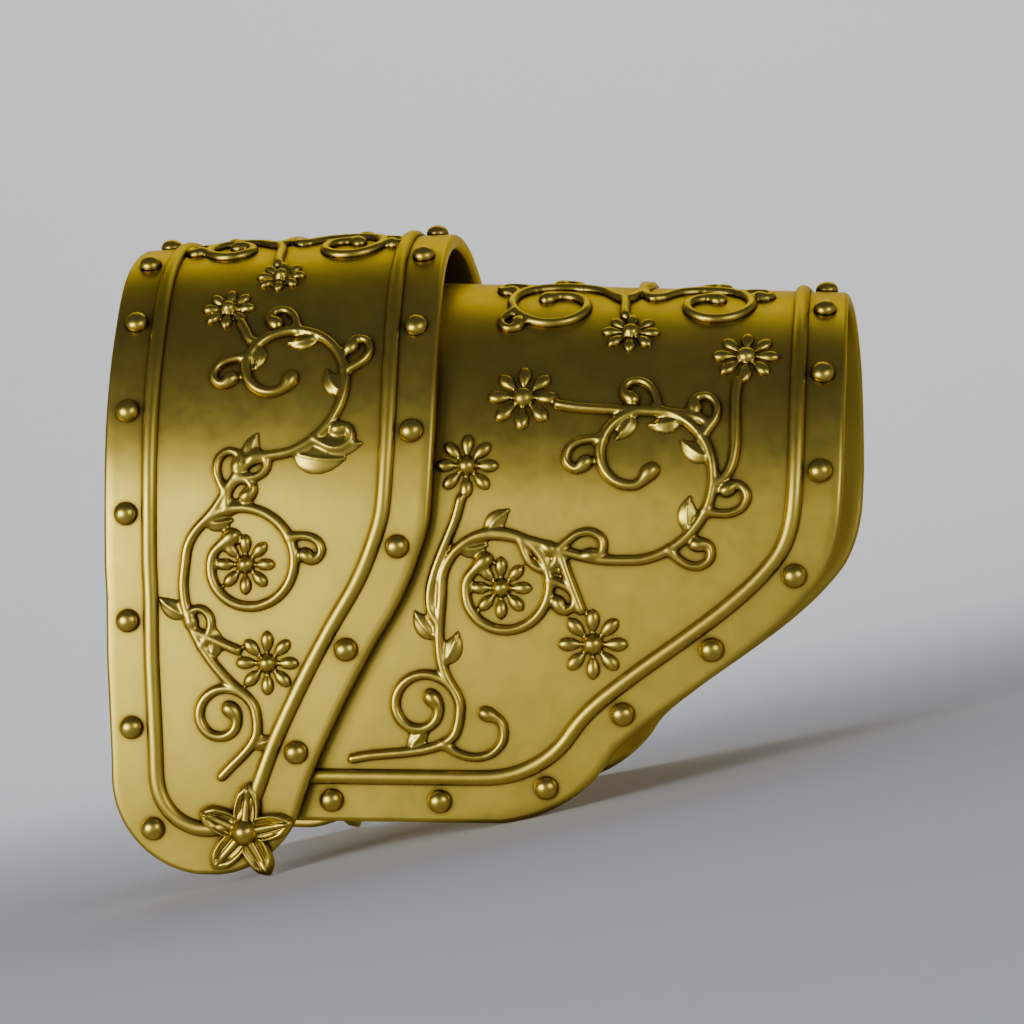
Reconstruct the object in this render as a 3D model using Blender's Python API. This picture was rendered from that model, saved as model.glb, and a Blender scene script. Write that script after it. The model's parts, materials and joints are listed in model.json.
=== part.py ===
"""A two-plate pauldron: a shoulder plate and an arm plate of cast gilt metal.

The armour frame has X along the arm (neck side at low X), Y through the arm and Z up, with
its zero height at the widest line of the plates. The plates are long arches round X, drawn
on their developed surface: x along the arm, and v round from the crown line, positive
towards the front. All pieces hang on one empty, which lays the armour on its four corners
as it stands by itself on a flat floor.
"""

import math
from dataclasses import dataclass, field
from typing import NamedTuple

import bmesh
import bpy
import numpy as np
from mathutils import Matrix, Vector

# Driving dimensions, in metres
SHOULDER_LENGTH = 0.104
SHOULDER_HALF_DEPTH = 0.082
SHOULDER_CROWN_NECK_SIDE = 0.088
SHOULDER_CROWN_ARM_SIDE = 0.0927
SHOULDER_SKIRT = 0.1144
SKIRT_RADIUS = 1.200
TIP_RADIUS = 0.031
TIP_FLAT = 0.006

ARM_REACH = 0.1285
ARM_SKIRT = 0.0972
ARM_FOOT_RADIUS = 0.047
ARM_FOOT_FLAT = 0.017
ARM_CROWN_SHOULDER_SIDE = 0.076
ARM_CROWN_ELBOW_SIDE = 0.0723
ARM_OVERLAP = 0.042

SHOULDER_WALL = 0.005
ARM_WALL = 0.004
PLATE_CLEARANCE = 0.0006
EDGE_CHAMFER = 0.0014
SEAT_GAP = 0.0003

BEAD_INSET = 0.0147
BEAD_WIDTH = 0.0050
BEAD_HEIGHT = 0.0017
BEAD_STEP = 0.008

RIVET_INSET = 0.0072
RIVET_DIAMETER = 0.0075
RIVET_HEIGHT = 0.0032
RIVET_STAR_SPACE = 0.0135
SHANK_DIAMETER = 0.0036
SHANK_CLEARANCE = 0.0003
TAIL_DIAMETER = 0.0064
TAIL_HEIGHT = 0.0012
NECK_SIDE_RIVETS = 7
ARM_SIDE_RIVETS = 6
ARM_PLATE_RIVETS = 9
THROUGH_RIVETS = 2

STAR_RADIUS = 0.0160
STAR_THICKNESS = 0.0014
STAR_RIB_HEIGHT = 0.0026
STAR_BALL_DIAMETER = 0.0090
STAR_BALL_HEIGHT = 0.0052
STAR_PETALS = 5

SCROLL_WIDTH = 0.0031
SCROLL_HEIGHT = 0.0019
ROSETTE_THICKNESS = 0.0015
ROSETTE_BALL_HEIGHT = 0.0036
ROSETTE_PETALS = 5

# Facets
ARCH_ROWS = 8
ARC_STEPS = 5
ROUND_SIDES = 8
SCROLL_STEP = 0.0085
SCROLL_STEP_DEGREES = 26.0
SPRIG_STEPS = 6

# Places that are shares of the plates' own sizes
STAR_ALONG = 0.43
STAR_DOWN = 0.942

# Where the edges turn into the arcs of the feet, measured round each arc from its widest level
RIM_ARC_DEGREES = 22.0
ELBOW_ARC_DEGREES = 37.5


class ShoulderRow(NamedTuple):
    """One level of the shoulder plate's outline: shares of its drop and its length."""

    down: float
    neck_edge: float
    arm_edge: float


SHOULDER_OUTLINE = (
    ShoulderRow(0.00, -0.040, 0.970),
    ShoulderRow(0.14, -0.035, 0.980),
    ShoulderRow(0.29, -0.015, 1.000),
    ShoulderRow(0.43, -0.005, 1.010),
    ShoulderRow(0.54, 0.000, 1.000),
    ShoulderRow(0.60, 0.000, 0.960),
    ShoulderRow(0.65, 0.005, 0.910),
    ShoulderRow(0.71, 0.005, 0.825),
    ShoulderRow(0.78, 0.010, 0.735),
    ShoulderRow(0.86, 0.015, 0.645),
)


class ArmRow(NamedTuple):
    """One level of the arm plate's elbow edge: shares of its drop and its reach."""

    down: float
    elbow_edge: float


ARM_OUTLINE = (
    ArmRow(0.00, 0.985),
    ArmRow(0.18, 0.995),
    ArmRow(0.34, 1.000),
    ArmRow(0.46, 1.000),
    ArmRow(0.54, 0.995),
    ArmRow(0.58, 0.985),
    ArmRow(0.63, 0.955),
    ArmRow(0.68, 0.890),
    ArmRow(0.73, 0.800),
    ArmRow(0.78, 0.690),
    ArmRow(0.84, 0.550),
    ArmRow(0.89, 0.450),
)


class Volute(NamedTuple):
    """A spiral of the vine: centre and radii as shares of a plate, angles in degrees."""

    name: str
    along: float
    down: float
    radius: float
    start: float
    sweep: float
    eye: float
    rosette: float


class Link(NamedTuple):
    """A run of stem from a volute to the start of the next one."""

    name: str
    leaves: str
    at: float
    joins: str


class Root(NamedTuple):
    """The foot of a stem: a place on the plate and a heading that lead to a volute."""

    name: str
    along: float
    down: float
    heading: float
    joins: str


class Sprig(NamedTuple):
    """A side shoot: where it leaves its strand, and its length, bend and closing curl."""

    strand: str
    at: float
    swing: float
    length: float
    bend: float
    curl: float


SHOULDER_VOLUTES = (
    Volute("upper", 0.519, 0.356, 0.270, 95.0, -430.0, 0.046, 0.0),
    Volute("middle", 0.440, 0.604, 0.190, 175.0, 430.0, 0.094, 0.094),
    Volute("lower", 0.366, 0.798, 0.106, 5.0, -420.0, 0.036, 0.0),
)
SHOULDER_LINKS = (
    Link("lower_stem", "lower", 0.10, "middle"),
    Link("upper_stem", "middle", 0.10, "upper"),
)
SHOULDER_ROOTS = (Root("foot", 0.360, 0.872, -50.0, "lower"),)
SHOULDER_SPRIGS = (
    Sprig("upper", 0.12, 72.0, 0.20, 25.0, -285.0),
    Sprig("upper", 0.30, 74.0, 0.21, 25.0, -285.0),
    Sprig("upper", 0.46, 74.0, 0.20, 25.0, -285.0),
    Sprig("upper", 0.62, 70.0, 0.21, 30.0, -285.0),
    Sprig("middle", 0.20, -72.0, 0.19, -25.0, 285.0),
    Sprig("middle", 0.40, -72.0, 0.19, -25.0, 285.0),
    Sprig("lower_stem", 0.42, 64.0, 0.20, 10.0, -270.0),
    Sprig("upper_stem", 0.40, -66.0, 0.22, -10.0, 270.0),
    Sprig("upper_stem", 0.66, 62.0, 0.18, 10.0, -270.0),
)

ARM_VOLUTES = (
    Volute("upper", 0.500, 0.470, 0.245, 101.0, -430.0, 0.042, 0.0),
    Volute("middle", 0.171, 0.654, 0.150, 170.0, 430.0, 0.078, 0.078),
    Volute("lower", -0.026, 0.829, 0.097, 20.0, -430.0, 0.035, 0.0),
)
ARM_LINKS = (
    Link("lower_stem", "lower", 0.10, "middle"),
    Link("upper_stem", "middle", 0.12, "upper"),
)
ARM_ROOTS = (Root("foot", -0.200, 0.905, -15.0, "lower"),)
ARM_SPRIGS = (
    Sprig("upper", 0.09, 72.0, 0.18, 25.0, -285.0),
    Sprig("upper", 0.24, 74.0, 0.19, 25.0, -285.0),
    Sprig("upper", 0.37, 74.0, 0.19, 25.0, -285.0),
    Sprig("upper", 0.50, 72.0, 0.19, 25.0, -285.0),
    Sprig("upper", 0.64, 70.0, 0.18, 25.0, -285.0),
    Sprig("middle", 0.42, -70.0, 0.15, -25.0, 285.0),
    Sprig("upper_stem", 0.45, 64.0, 0.18, 10.0, -270.0),
    Sprig("upper_stem", 0.72, -64.0, 0.19, -10.0, 270.0),
    Sprig("foot", 0.70, 66.0, 0.26, -60.0, -160.0),
)

SHOULDER_CROWN_VOLUTES = (
    Volute("near_rim", 0.650, 0.096, 0.150, 205.0, 470.0, 0.045, 0.0),
    Volute("near_neck", 0.290, 0.092, 0.118, -25.0, -430.0, 0.040, 0.0),
)
ARM_CROWN_VOLUTES = (
    Volute("near_rim", 0.270, 0.166, 0.156, -22.0, -470.0, 0.050, 0.0),
    Volute("near_elbow", 0.655, 0.155, 0.135, 202.0, 450.0, 0.042, 0.0),
)


@dataclass
class Finish:
    """The look of one kind of piece, as a plain Principled material."""

    name: str
    colour: tuple[float, float, float]
    roughness: float

    def material(self) -> bpy.types.Material:
        """Make the material."""
        material = bpy.data.materials.new(self.name)
        material.use_nodes = True
        shader = material.node_tree.nodes["Principled BSDF"]
        shader.inputs["Base Color"].default_value = (*self.colour, 1.0)
        shader.inputs["Roughness"].default_value = self.roughness
        shader.inputs["Metallic"].default_value = 1.0
        return material


SATIN_GILT = Finish("satin_gilt", (0.43, 0.33, 0.10), 0.34)
RELIEF_GILT = Finish("relief_gilt", (0.50, 0.38, 0.12), 0.28)
POLISHED_GILT = Finish("polished_gilt", (0.56, 0.43, 0.15), 0.18)


def smooth(stations: list[float], values: list[float], at: float) -> float:
    """Read a smooth curve through a table's values, with no overshoot between rows."""
    slopes = [(values[i + 1] - values[i]) / (stations[i + 1] - stations[i])
              for i in range(len(values) - 1)]
    tangents = [slopes[0]]
    for before, after in zip(slopes, slopes[1:]):
        rising = before * after > 0.0
        tangents.append(2.0 * before * after / (before + after) if rising else 0.0)
    tangents.append(slopes[-1])
    at = min(max(at, stations[0]), stations[-1])
    row = max(i for i in range(len(stations) - 1) if stations[i] <= at)
    span = stations[row + 1] - stations[row]
    t = (at - stations[row]) / span
    start = (1.0 + 2.0 * t) * (1.0 - t) ** 2 * values[row]
    end = t * t * (3.0 - 2.0 * t) * values[row + 1]
    leave = t * (1.0 - t) ** 2 * span * tangents[row]
    arrive = t * t * (t - 1.0) * span * tangents[row + 1]
    return start + end + leave + arrive


@dataclass
class Arch:
    """The outer surface of a plate: half an ellipse over an almost straight skirt."""

    half_depth: float
    crown_start: float
    crown_end: float
    start_x: float
    end_x: float
    skirt_radius: float
    skirt: float
    turns: np.ndarray = field(init=False)
    lengths: np.ndarray = field(init=False)

    def __post_init__(self) -> None:
        """Measure the mean ellipse's arc, from the crown down to the widest line."""
        crown = 0.5 * (self.crown_start + self.crown_end)
        self.turns = np.linspace(0.0, math.pi / 2.0, 400)
        steps = np.hypot(
            np.diff(self.half_depth * np.sin(self.turns)), np.diff(crown * np.cos(self.turns))
        )
        self.lengths = np.concatenate(([0.0], np.cumsum(steps)))

    @property
    def quarter(self) -> float:
        """Length of the arc from the crown to the widest line."""
        return float(self.lengths[-1])

    @property
    def drop(self) -> float:
        """Length of the developed surface from the crown to the lower edge."""
        return self.quarter + self.skirt

    def turn(self, v: float) -> float:
        """Angle round the arch at a developed length: it goes on past 90 degrees as skirt."""
        if v <= self.quarter:
            return float(np.interp(v, self.lengths, self.turns))
        return math.pi / 2.0 + (v - self.quarter) / self.skirt_radius

    def length_at(self, turn: float) -> float:
        """Developed length at an angle round the arch."""
        if turn <= math.pi / 2.0:
            return float(np.interp(turn, self.turns, self.lengths))
        return self.quarter + (turn - math.pi / 2.0) * self.skirt_radius

    def crown(self, x: float) -> float:
        """Height of the crown over the widest line at a place along the arm."""
        share = (x - self.start_x) / (self.end_x - self.start_x)
        return self.crown_start + (self.crown_end - self.crown_start) * share

    def point(self, x: float, v: float, lift: float = 0.0) -> Vector:
        """Point of the surface, moved out by lift along its normal."""
        side = -1.0 if v >= 0.0 else 1.0
        turn = self.turn(abs(v))
        if turn <= math.pi / 2.0:
            crown = self.crown(x)
            y = self.half_depth * math.sin(turn)
            z = crown * math.cos(turn)
            out = Vector((0.0, math.sin(turn) / self.half_depth, math.cos(turn) / crown))
        else:
            fall = turn - math.pi / 2.0
            y = self.half_depth - self.skirt_radius * (1.0 - math.cos(fall))
            z = -self.skirt_radius * math.sin(fall)
            out = Vector((0.0, math.cos(fall), -math.sin(fall)))
        out.normalize()
        return Vector((x, side * (y + lift * out.y), z + lift * out.z))

    def placing(self, x: float, v: float, lift: float) -> Matrix:
        """Frame on the surface: local Z out of the plate, local X along the arm."""
        step = 1e-4
        base = self.point(x, v, lift)
        out = (self.point(x, v, lift + step) - base).normalized()
        along = (self.point(x + step, v, lift) - base).normalized()
        across = out.cross(along).normalized()
        along = across.cross(out)
        return Matrix.Translation(base) @ Matrix((along, across, out)).transposed().to_4x4()


SHOULDER = Arch(SHOULDER_HALF_DEPTH, SHOULDER_CROWN_NECK_SIDE, SHOULDER_CROWN_ARM_SIDE,
                0.0, SHOULDER_LENGTH, SKIRT_RADIUS, SHOULDER_SKIRT)
ARM = Arch(SHOULDER_HALF_DEPTH - SHOULDER_WALL - PLATE_CLEARANCE, ARM_CROWN_SHOULDER_SIDE,
           ARM_CROWN_ELBOW_SIDE, SHOULDER_LENGTH, SHOULDER_LENGTH + ARM_REACH,
           SKIRT_RADIUS - SHOULDER_WALL - PLATE_CLEARANCE, ARM_SKIRT)


def arc_level(arch: Arch, radius: float, degrees: float) -> float:
    """Developed length at an angle round the arc that rounds off a plate's lower edge."""
    return arch.drop - radius * (1.0 - math.sin(math.radians(degrees)))


def arc_levels(arch: Arch, radius: float, first: float) -> list[float]:
    """Levels round the arc of a plate's lower edge, as shares of the plate's drop."""
    turns = [first + (90.0 - first) * i / ARC_STEPS for i in range(ARC_STEPS + 1)]
    return [arc_level(arch, radius, turn) / arch.drop for turn in turns]


def arc_half_width(arch: Arch, radius: float, v: float) -> float:
    """Half the width of that arc at a level."""
    share = min(1.0, (v - arch.drop + radius) / radius)
    return radius * math.sqrt(1.0 - share * share)


def edge(stations: list[float], values: list[float], joins: float, arc, v: float) -> float:
    """Read an edge: a smooth curve through its rows down to a level, and an arc below it."""
    if v >= joins:
        return arc(v)
    return smooth(stations + [joins], values + [arc(joins)], v)


def tip_half_width(v: float) -> float:
    """Half the width of the shoulder plate's round tip at a level."""
    return max(0.5 * TIP_FLAT, arc_half_width(SHOULDER, TIP_RADIUS, v))


def tip_middle() -> float:
    """Middle of the round tip, whose arc starts where the neck-side edge ends."""
    return SHOULDER_LENGTH * SHOULDER_OUTLINE[-1].neck_edge + TIP_RADIUS


def neck_edge(v: float) -> float:
    """Neck-side edge of the shoulder plate."""
    middle = tip_middle()
    return edge([row.down * SHOULDER.drop for row in SHOULDER_OUTLINE],
                [row.neck_edge * SHOULDER_LENGTH for row in SHOULDER_OUTLINE],
                arc_level(SHOULDER, TIP_RADIUS, 0.0),
                lambda level: middle - tip_half_width(level), abs(v))


def rim_edge(v: float) -> float:
    """Arm-side edge of the shoulder plate, the rim that stands over the arm plate."""
    middle = tip_middle()
    return edge([row.down * SHOULDER.drop for row in SHOULDER_OUTLINE],
                [row.arm_edge * SHOULDER_LENGTH for row in SHOULDER_OUTLINE],
                arc_level(SHOULDER, TIP_RADIUS, RIM_ARC_DEGREES),
                lambda level: middle + tip_half_width(level), abs(v))


def rim_over_arm(v: float) -> float:
    """The shoulder plate's rim as it lies over a level of the arm plate."""
    return rim_edge(SHOULDER.length_at(ARM.turn(abs(v))))


def hidden_edge(v: float) -> float:
    """Edge of the arm plate under the shoulder plate."""
    return rim_over_arm(v) - ARM_OVERLAP


def elbow_edge(v: float) -> float:
    """Elbow-side edge of the arm plate."""
    middle = SHOULDER_LENGTH + ARM_FOOT_FLAT
    return edge([row.down * ARM.drop for row in ARM_OUTLINE],
                [SHOULDER_LENGTH + row.elbow_edge * ARM_REACH for row in ARM_OUTLINE],
                arc_level(ARM, ARM_FOOT_RADIUS, ELBOW_ARC_DEGREES),
                lambda level: middle + arc_half_width(ARM, ARM_FOOT_RADIUS, level), abs(v))


def keep(name: str, mesh: bpy.types.Mesh, finish: Finish, place: Matrix = None) -> bpy.types.Object:
    """Make one named piece of the armour, which rides on the armour's empty."""
    mesh.name = name
    mesh.materials.clear()
    mesh.materials.append(MATERIALS[finish.name])
    piece = bpy.data.objects.new(name, mesh)
    bpy.context.scene.collection.objects.link(piece)
    piece.parent = ARMOUR
    if place is not None:
        piece.matrix_local = place
    return piece


def ring_mesh(rings: list[list[Vector]]) -> bpy.types.Mesh:
    """Skin a row of equal rings, capped at both ends, with its faces out."""
    mesh = bpy.data.meshes.new("rings")
    body = bmesh.new()
    loops = [[body.verts.new(point) for point in ring] for ring in rings]
    count = len(loops[0])
    for near, far in zip(loops, loops[1:]):
        for i in range(count):
            j = (i + 1) % count
            body.faces.new((near[i], near[j], far[j], far[i]))
    body.faces.new(loops[0])
    body.faces.new(loops[-1])
    bmesh.ops.recalc_face_normals(body, faces=body.faces)
    body.to_mesh(mesh)
    body.free()
    return mesh


def plate_rows(arch: Arch, outline: list[float]) -> list[float]:
    """Levels of a plate's facets from the crown down, closer at its shaped lower edge."""
    even = [arch.quarter * i / ARCH_ROWS for i in range(ARCH_ROWS + 1)]
    shaped = [arch.drop * down for down in outline if arch.drop * down > arch.quarter]
    levels = even + [shaped[0]]
    for low in shaped[1:]:
        gap = low - levels[-1]
        if gap > BEAD_INSET:
            levels.append(levels[-1] + 0.5 * gap)
        levels.append(low)
    spaced = [levels[0]]
    for level in levels[1:-1]:
        if level - spaced[-1] > EDGE_CHAMFER and arch.drop - level > EDGE_CHAMFER:
            spaced.append(level)
    return spaced + [arch.drop - 0.6 * EDGE_CHAMFER, arch.drop]


def plate_mesh(arch: Arch, start, end, rows: list[float], wall: float) -> bpy.types.Mesh:
    """Model a plate as one ring of eight points for each level, front tip to back tip."""
    levels = [-v for v in reversed(rows[1:])] + rows
    rings = []
    for v in levels:
        low, high = start(v), end(v)
        bevel = min(EDGE_CHAMFER, 0.3 * (high - low))
        sunk = EDGE_CHAMFER if abs(v) == rows[-1] else 0.0
        rings.append([
            arch.point(low + bevel, v, -sunk),
            arch.point(high - bevel, v, -sunk),
            arch.point(high, v, -EDGE_CHAMFER - 0.01 * sunk),
            arch.point(high, v, EDGE_CHAMFER - wall + 0.01 * sunk),
            arch.point(high - bevel, v, sunk - wall),
            arch.point(low + bevel, v, sunk - wall),
            arch.point(low, v, EDGE_CHAMFER - wall + 0.01 * sunk),
            arch.point(low, v, -EDGE_CHAMFER - 0.01 * sunk),
        ])
    return ring_mesh(rings)


def inset_path(start, end, rows: list[float], inset: float, closed_foot: bool) -> list[tuple]:
    """Path on the developed surface at an even distance inside a plate's visible edge."""
    fine = np.concatenate([np.linspace(a, b, 12)[:-1] for a, b in zip(rows, rows[1:])])
    fine = list(fine) + [rows[-1]]
    outer = [(end(v), v) for v in fine]
    if closed_foot:
        outer += [(start(v), v) for v in reversed(fine)]
    else:
        foot = np.linspace(end(rows[-1]), start(rows[-1]), 24)[1:]
        outer += [(x, rows[-1]) for x in foot]
    edge = np.array(outer)
    path = []
    for i in range(len(edge)):
        tangent = edge[min(i + 1, len(edge) - 1)] - edge[max(i - 1, 0)]
        normal = np.array((-tangent[1], tangent[0])) / np.hypot(*tangent)
        spot = edge[i] + inset * normal
        if np.hypot(*(edge - spot).T).min() > inset * 0.985:
            path.append((float(spot[0]), float(spot[1])))
    return path


def walk(path: list[tuple], stations: list[float]) -> list[tuple]:
    """Points at given lengths along a path."""
    spots = np.array(path)
    lengths = np.concatenate(([0.0], np.cumsum(np.hypot(*np.diff(spots, axis=0).T))))
    return [(float(np.interp(s, lengths, spots[:, 0])), float(np.interp(s, lengths, spots[:, 1])))
            for s in stations]


def run_length(path: list[tuple]) -> float:
    """Length of a path."""
    return float(np.hypot(*np.diff(np.array(path), axis=0).T).sum())


def both_sides(path: list[tuple]) -> list[tuple]:
    """A path and its mirror over the crown, as one run from back to front."""
    return [(x, -v) for x, v in reversed(path)] + path


def bar_mesh(arch: Arch, path: list[tuple], profile: list[tuple], scales: list[float],
             lift: float) -> bpy.types.Mesh:
    """Raise a bar of one cross-section along a path on a plate, at a lift over it."""
    rings = []
    for i, (x, v) in enumerate(path):
        before = path[max(i - 1, 0)]
        after = path[min(i + 1, len(path) - 1)]
        run = math.hypot(after[0] - before[0], after[1] - before[1])
        across = ((before[1] - after[1]) / run, (after[0] - before[0]) / run)
        rings.append([
            arch.point(x + across[0] * side * scales[i], v + across[1] * side * scales[i],
                       lift + rise * scales[i])
            for side, rise in profile
        ])
    return ring_mesh(rings)


def bead_piece(name: str, arch: Arch, path: list[tuple]) -> None:
    """Make one half-round border bead."""
    half = 0.5 * BEAD_WIDTH
    profile = [(-half, 0.0), (-0.6 * half, BEAD_HEIGHT), (0.6 * half, BEAD_HEIGHT), (half, 0.0)]
    steps = max(2, round(run_length(path) / BEAD_STEP))
    spots = walk(path, [run_length(path) * i / steps for i in range(steps + 1)])
    keep(name, bar_mesh(arch, spots, profile, [1.0] * len(spots), SEAT_GAP), SATIN_GILT)


def turned_mesh(profile: list[tuple], sides: int) -> bpy.types.Mesh:
    """Turn a profile of radius and height about Z, from its top pole to its bottom pole."""
    mesh = bpy.data.meshes.new("turned")
    body = bmesh.new()
    top = body.verts.new((0.0, 0.0, profile[0][1]))
    bottom = body.verts.new((0.0, 0.0, profile[-1][1]))
    rings = []
    for radius, height in profile[1:-1]:
        angles = [2.0 * math.pi * i / sides for i in range(sides)]
        rings.append([body.verts.new((radius * math.cos(a), radius * math.sin(a), height))
                      for a in angles])
    for i in range(sides):
        j = (i + 1) % sides
        body.faces.new((top, rings[0][i], rings[0][j]))
        body.faces.new((bottom, rings[-1][j], rings[-1][i]))
        for upper, lower in zip(rings, rings[1:]):
            body.faces.new((upper[i], lower[i], lower[j], upper[j]))
    bmesh.ops.recalc_face_normals(body, faces=body.faces)
    body.to_mesh(mesh)
    body.free()
    return mesh


def rivet_profile(through: bool) -> list[tuple]:
    """Profile of a rivet: a dome, and for the through rivets a shank and a closed tail."""
    radius = 0.5 * RIVET_DIAMETER
    dome = [(0.0, RIVET_HEIGHT), (0.70 * radius, 0.74 * RIVET_HEIGHT), (radius, 0.0)]
    if not through:
        return dome + [(0.0, 0.0)]
    shank = 0.5 * SHANK_DIAMETER
    depth = 2.0 * SEAT_GAP + SHOULDER_WALL + ARM_WALL + PLATE_CLEARANCE
    tail = 0.5 * TAIL_DIAMETER
    return dome + [(shank, 0.0), (shank, -depth), (tail, -depth),
                   (0.6 * tail, -depth - TAIL_HEIGHT), (0.0, -depth - TAIL_HEIGHT)]


def rivet_row(name: str, arch: Arch, path: list[tuple], last: float, count: int,
              through: int) -> list[Matrix]:
    """Set evenly spaced rivets along both sides of a border, and return the through places."""
    plain = turned_mesh(rivet_profile(False), ROUND_SIDES)
    long = turned_mesh(rivet_profile(True), ROUND_SIDES) if through else None
    pitch = last / count
    holes = []
    crown_x = path[0][0]
    keep(f"{name}_rivet_crown", plain, POLISHED_GILT, arch.placing(crown_x, 0.0, SEAT_GAP))
    for index, (x, v) in enumerate(walk(path, [pitch * k for k in range(1, count + 1)])):
        passes = index >= count - through
        for side, sign in (("front", 1.0), ("back", -1.0)):
            place = arch.placing(x, sign * v, SEAT_GAP)
            keep(f"{name}_rivet_{side}_{index + 1}", long if passes else plain,
                 POLISHED_GILT, place)
            if passes:
                holes.append(place)
    return holes


def hole_cutter(holes: list[Matrix]) -> bpy.types.Object:
    """Pins that cut the through rivets' holes in both plates."""
    body = bmesh.new()
    depth = 2.0 * (SHOULDER_WALL + ARM_WALL)
    for place in holes:
        bmesh.ops.create_cone(body, cap_ends=True, segments=ROUND_SIDES,
                              radius1=0.5 * SHANK_DIAMETER + SHANK_CLEARANCE,
                              radius2=0.5 * SHANK_DIAMETER + SHANK_CLEARANCE,
                              depth=2.0 * depth, matrix=place)
    mesh = bpy.data.meshes.new("rivet_holes")
    body.to_mesh(mesh)
    body.free()
    cutter = keep("rivet_holes", mesh, SATIN_GILT)
    cutter.hide_render = True
    cutter.display_type = "WIRE"
    return cutter


def drill(plate: bpy.types.Object, cutter: bpy.types.Object) -> None:
    """Cut the rivets' holes through a plate."""
    cut = plate.modifiers.new("rivet_holes", "BOOLEAN")
    cut.operation = "DIFFERENCE"
    cut.solver = "EXACT"
    cut.object = cutter


def flower_mesh(arch: Arch, x: float, v: float, heading: float, outline: list[tuple],
                levels: list[tuple], ball: tuple, lift: float) -> bpy.types.Mesh:
    """Raise a petalled boss on a plate: its outline, its ridged face and its centre ball.

    The outline gives an angle, a radius and a rib share for each point. Each level gives
    a share of the outline's radius, a height, and the height added along the ribs.
    """
    def ring(scale: float, height: float, rib: float) -> list[Vector]:
        spots = []
        for angle, radius, ribbed in outline:
            a = math.radians(angle + heading)
            spots.append(arch.point(x + scale * radius * math.cos(a),
                                    v + scale * radius * math.sin(a),
                                    lift + height + rib * ribbed))
        return spots

    def circle(radius: float, height: float) -> list[Vector]:
        return [arch.point(x + radius * math.cos(math.radians(angle + heading)),
                           v + radius * math.sin(math.radians(angle + heading)), lift + height)
                for angle, _, _ in outline]

    rings = [ring(*level) for level in levels]
    ball_radius, ball_height = ball
    rings.append(circle(ball_radius, levels[-1][1]))
    rings.append(circle(0.7 * ball_radius, 0.8 * ball_height))
    rings.append(circle(0.25 * ball_radius, ball_height))
    return ring_mesh(rings)


def star_piece(side: str, sign: float) -> None:
    """Make the star flower at a shoulder plate's lower tip."""
    outline = []
    for petal in range(STAR_PETALS):
        middle = 360.0 * petal / STAR_PETALS
        outline += [(middle - 36.0, 0.44 * STAR_RADIUS, 0.0), (middle - 17.0, 0.78 * STAR_RADIUS, 0.0),
                    (middle, STAR_RADIUS, 1.0), (middle + 17.0, 0.78 * STAR_RADIUS, 0.0)]
    rib = STAR_RIB_HEIGHT - STAR_THICKNESS
    levels = [(1.0, 0.0, 0.0), (0.98, STAR_THICKNESS, 0.0), (0.62, STAR_THICKNESS, rib)]
    x, v = star_spot()
    heading = -90.0 * sign + 6.0 * sign
    mesh = flower_mesh(SHOULDER, x, sign * v, heading, outline, levels,
                       (0.5 * STAR_BALL_DIAMETER, STAR_BALL_HEIGHT), SEAT_GAP)
    keep(f"star_boss_{side}", mesh, POLISHED_GILT)


def star_spot() -> tuple[float, float]:
    """Centre of the front star flower on the developed shoulder plate."""
    return STAR_ALONG * SHOULDER_LENGTH, STAR_DOWN * SHOULDER.drop


def rosette_mesh(arch: Arch, x: float, v: float, radius: float, sign: float) -> bpy.types.Mesh:
    """Raise a small round-petalled flower in a volute's eye."""
    outline = []
    for petal in range(ROSETTE_PETALS):
        middle = 360.0 * petal / ROSETTE_PETALS
        outline += [(middle - 36.0, 0.58 * radius, 0.0), (middle - 18.0, radius, 0.0),
                    (middle + 18.0, radius, 0.0)]
    levels = [(1.0, 0.0, 0.0), (0.93, ROSETTE_THICKNESS, 0.0), (0.60, 0.6 * ROSETTE_THICKNESS, 0.0)]
    return flower_mesh(arch, x, v, -90.0 * sign, outline, levels,
                       (0.30 * radius, ROSETTE_BALL_HEIGHT), SEAT_GAP)


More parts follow.
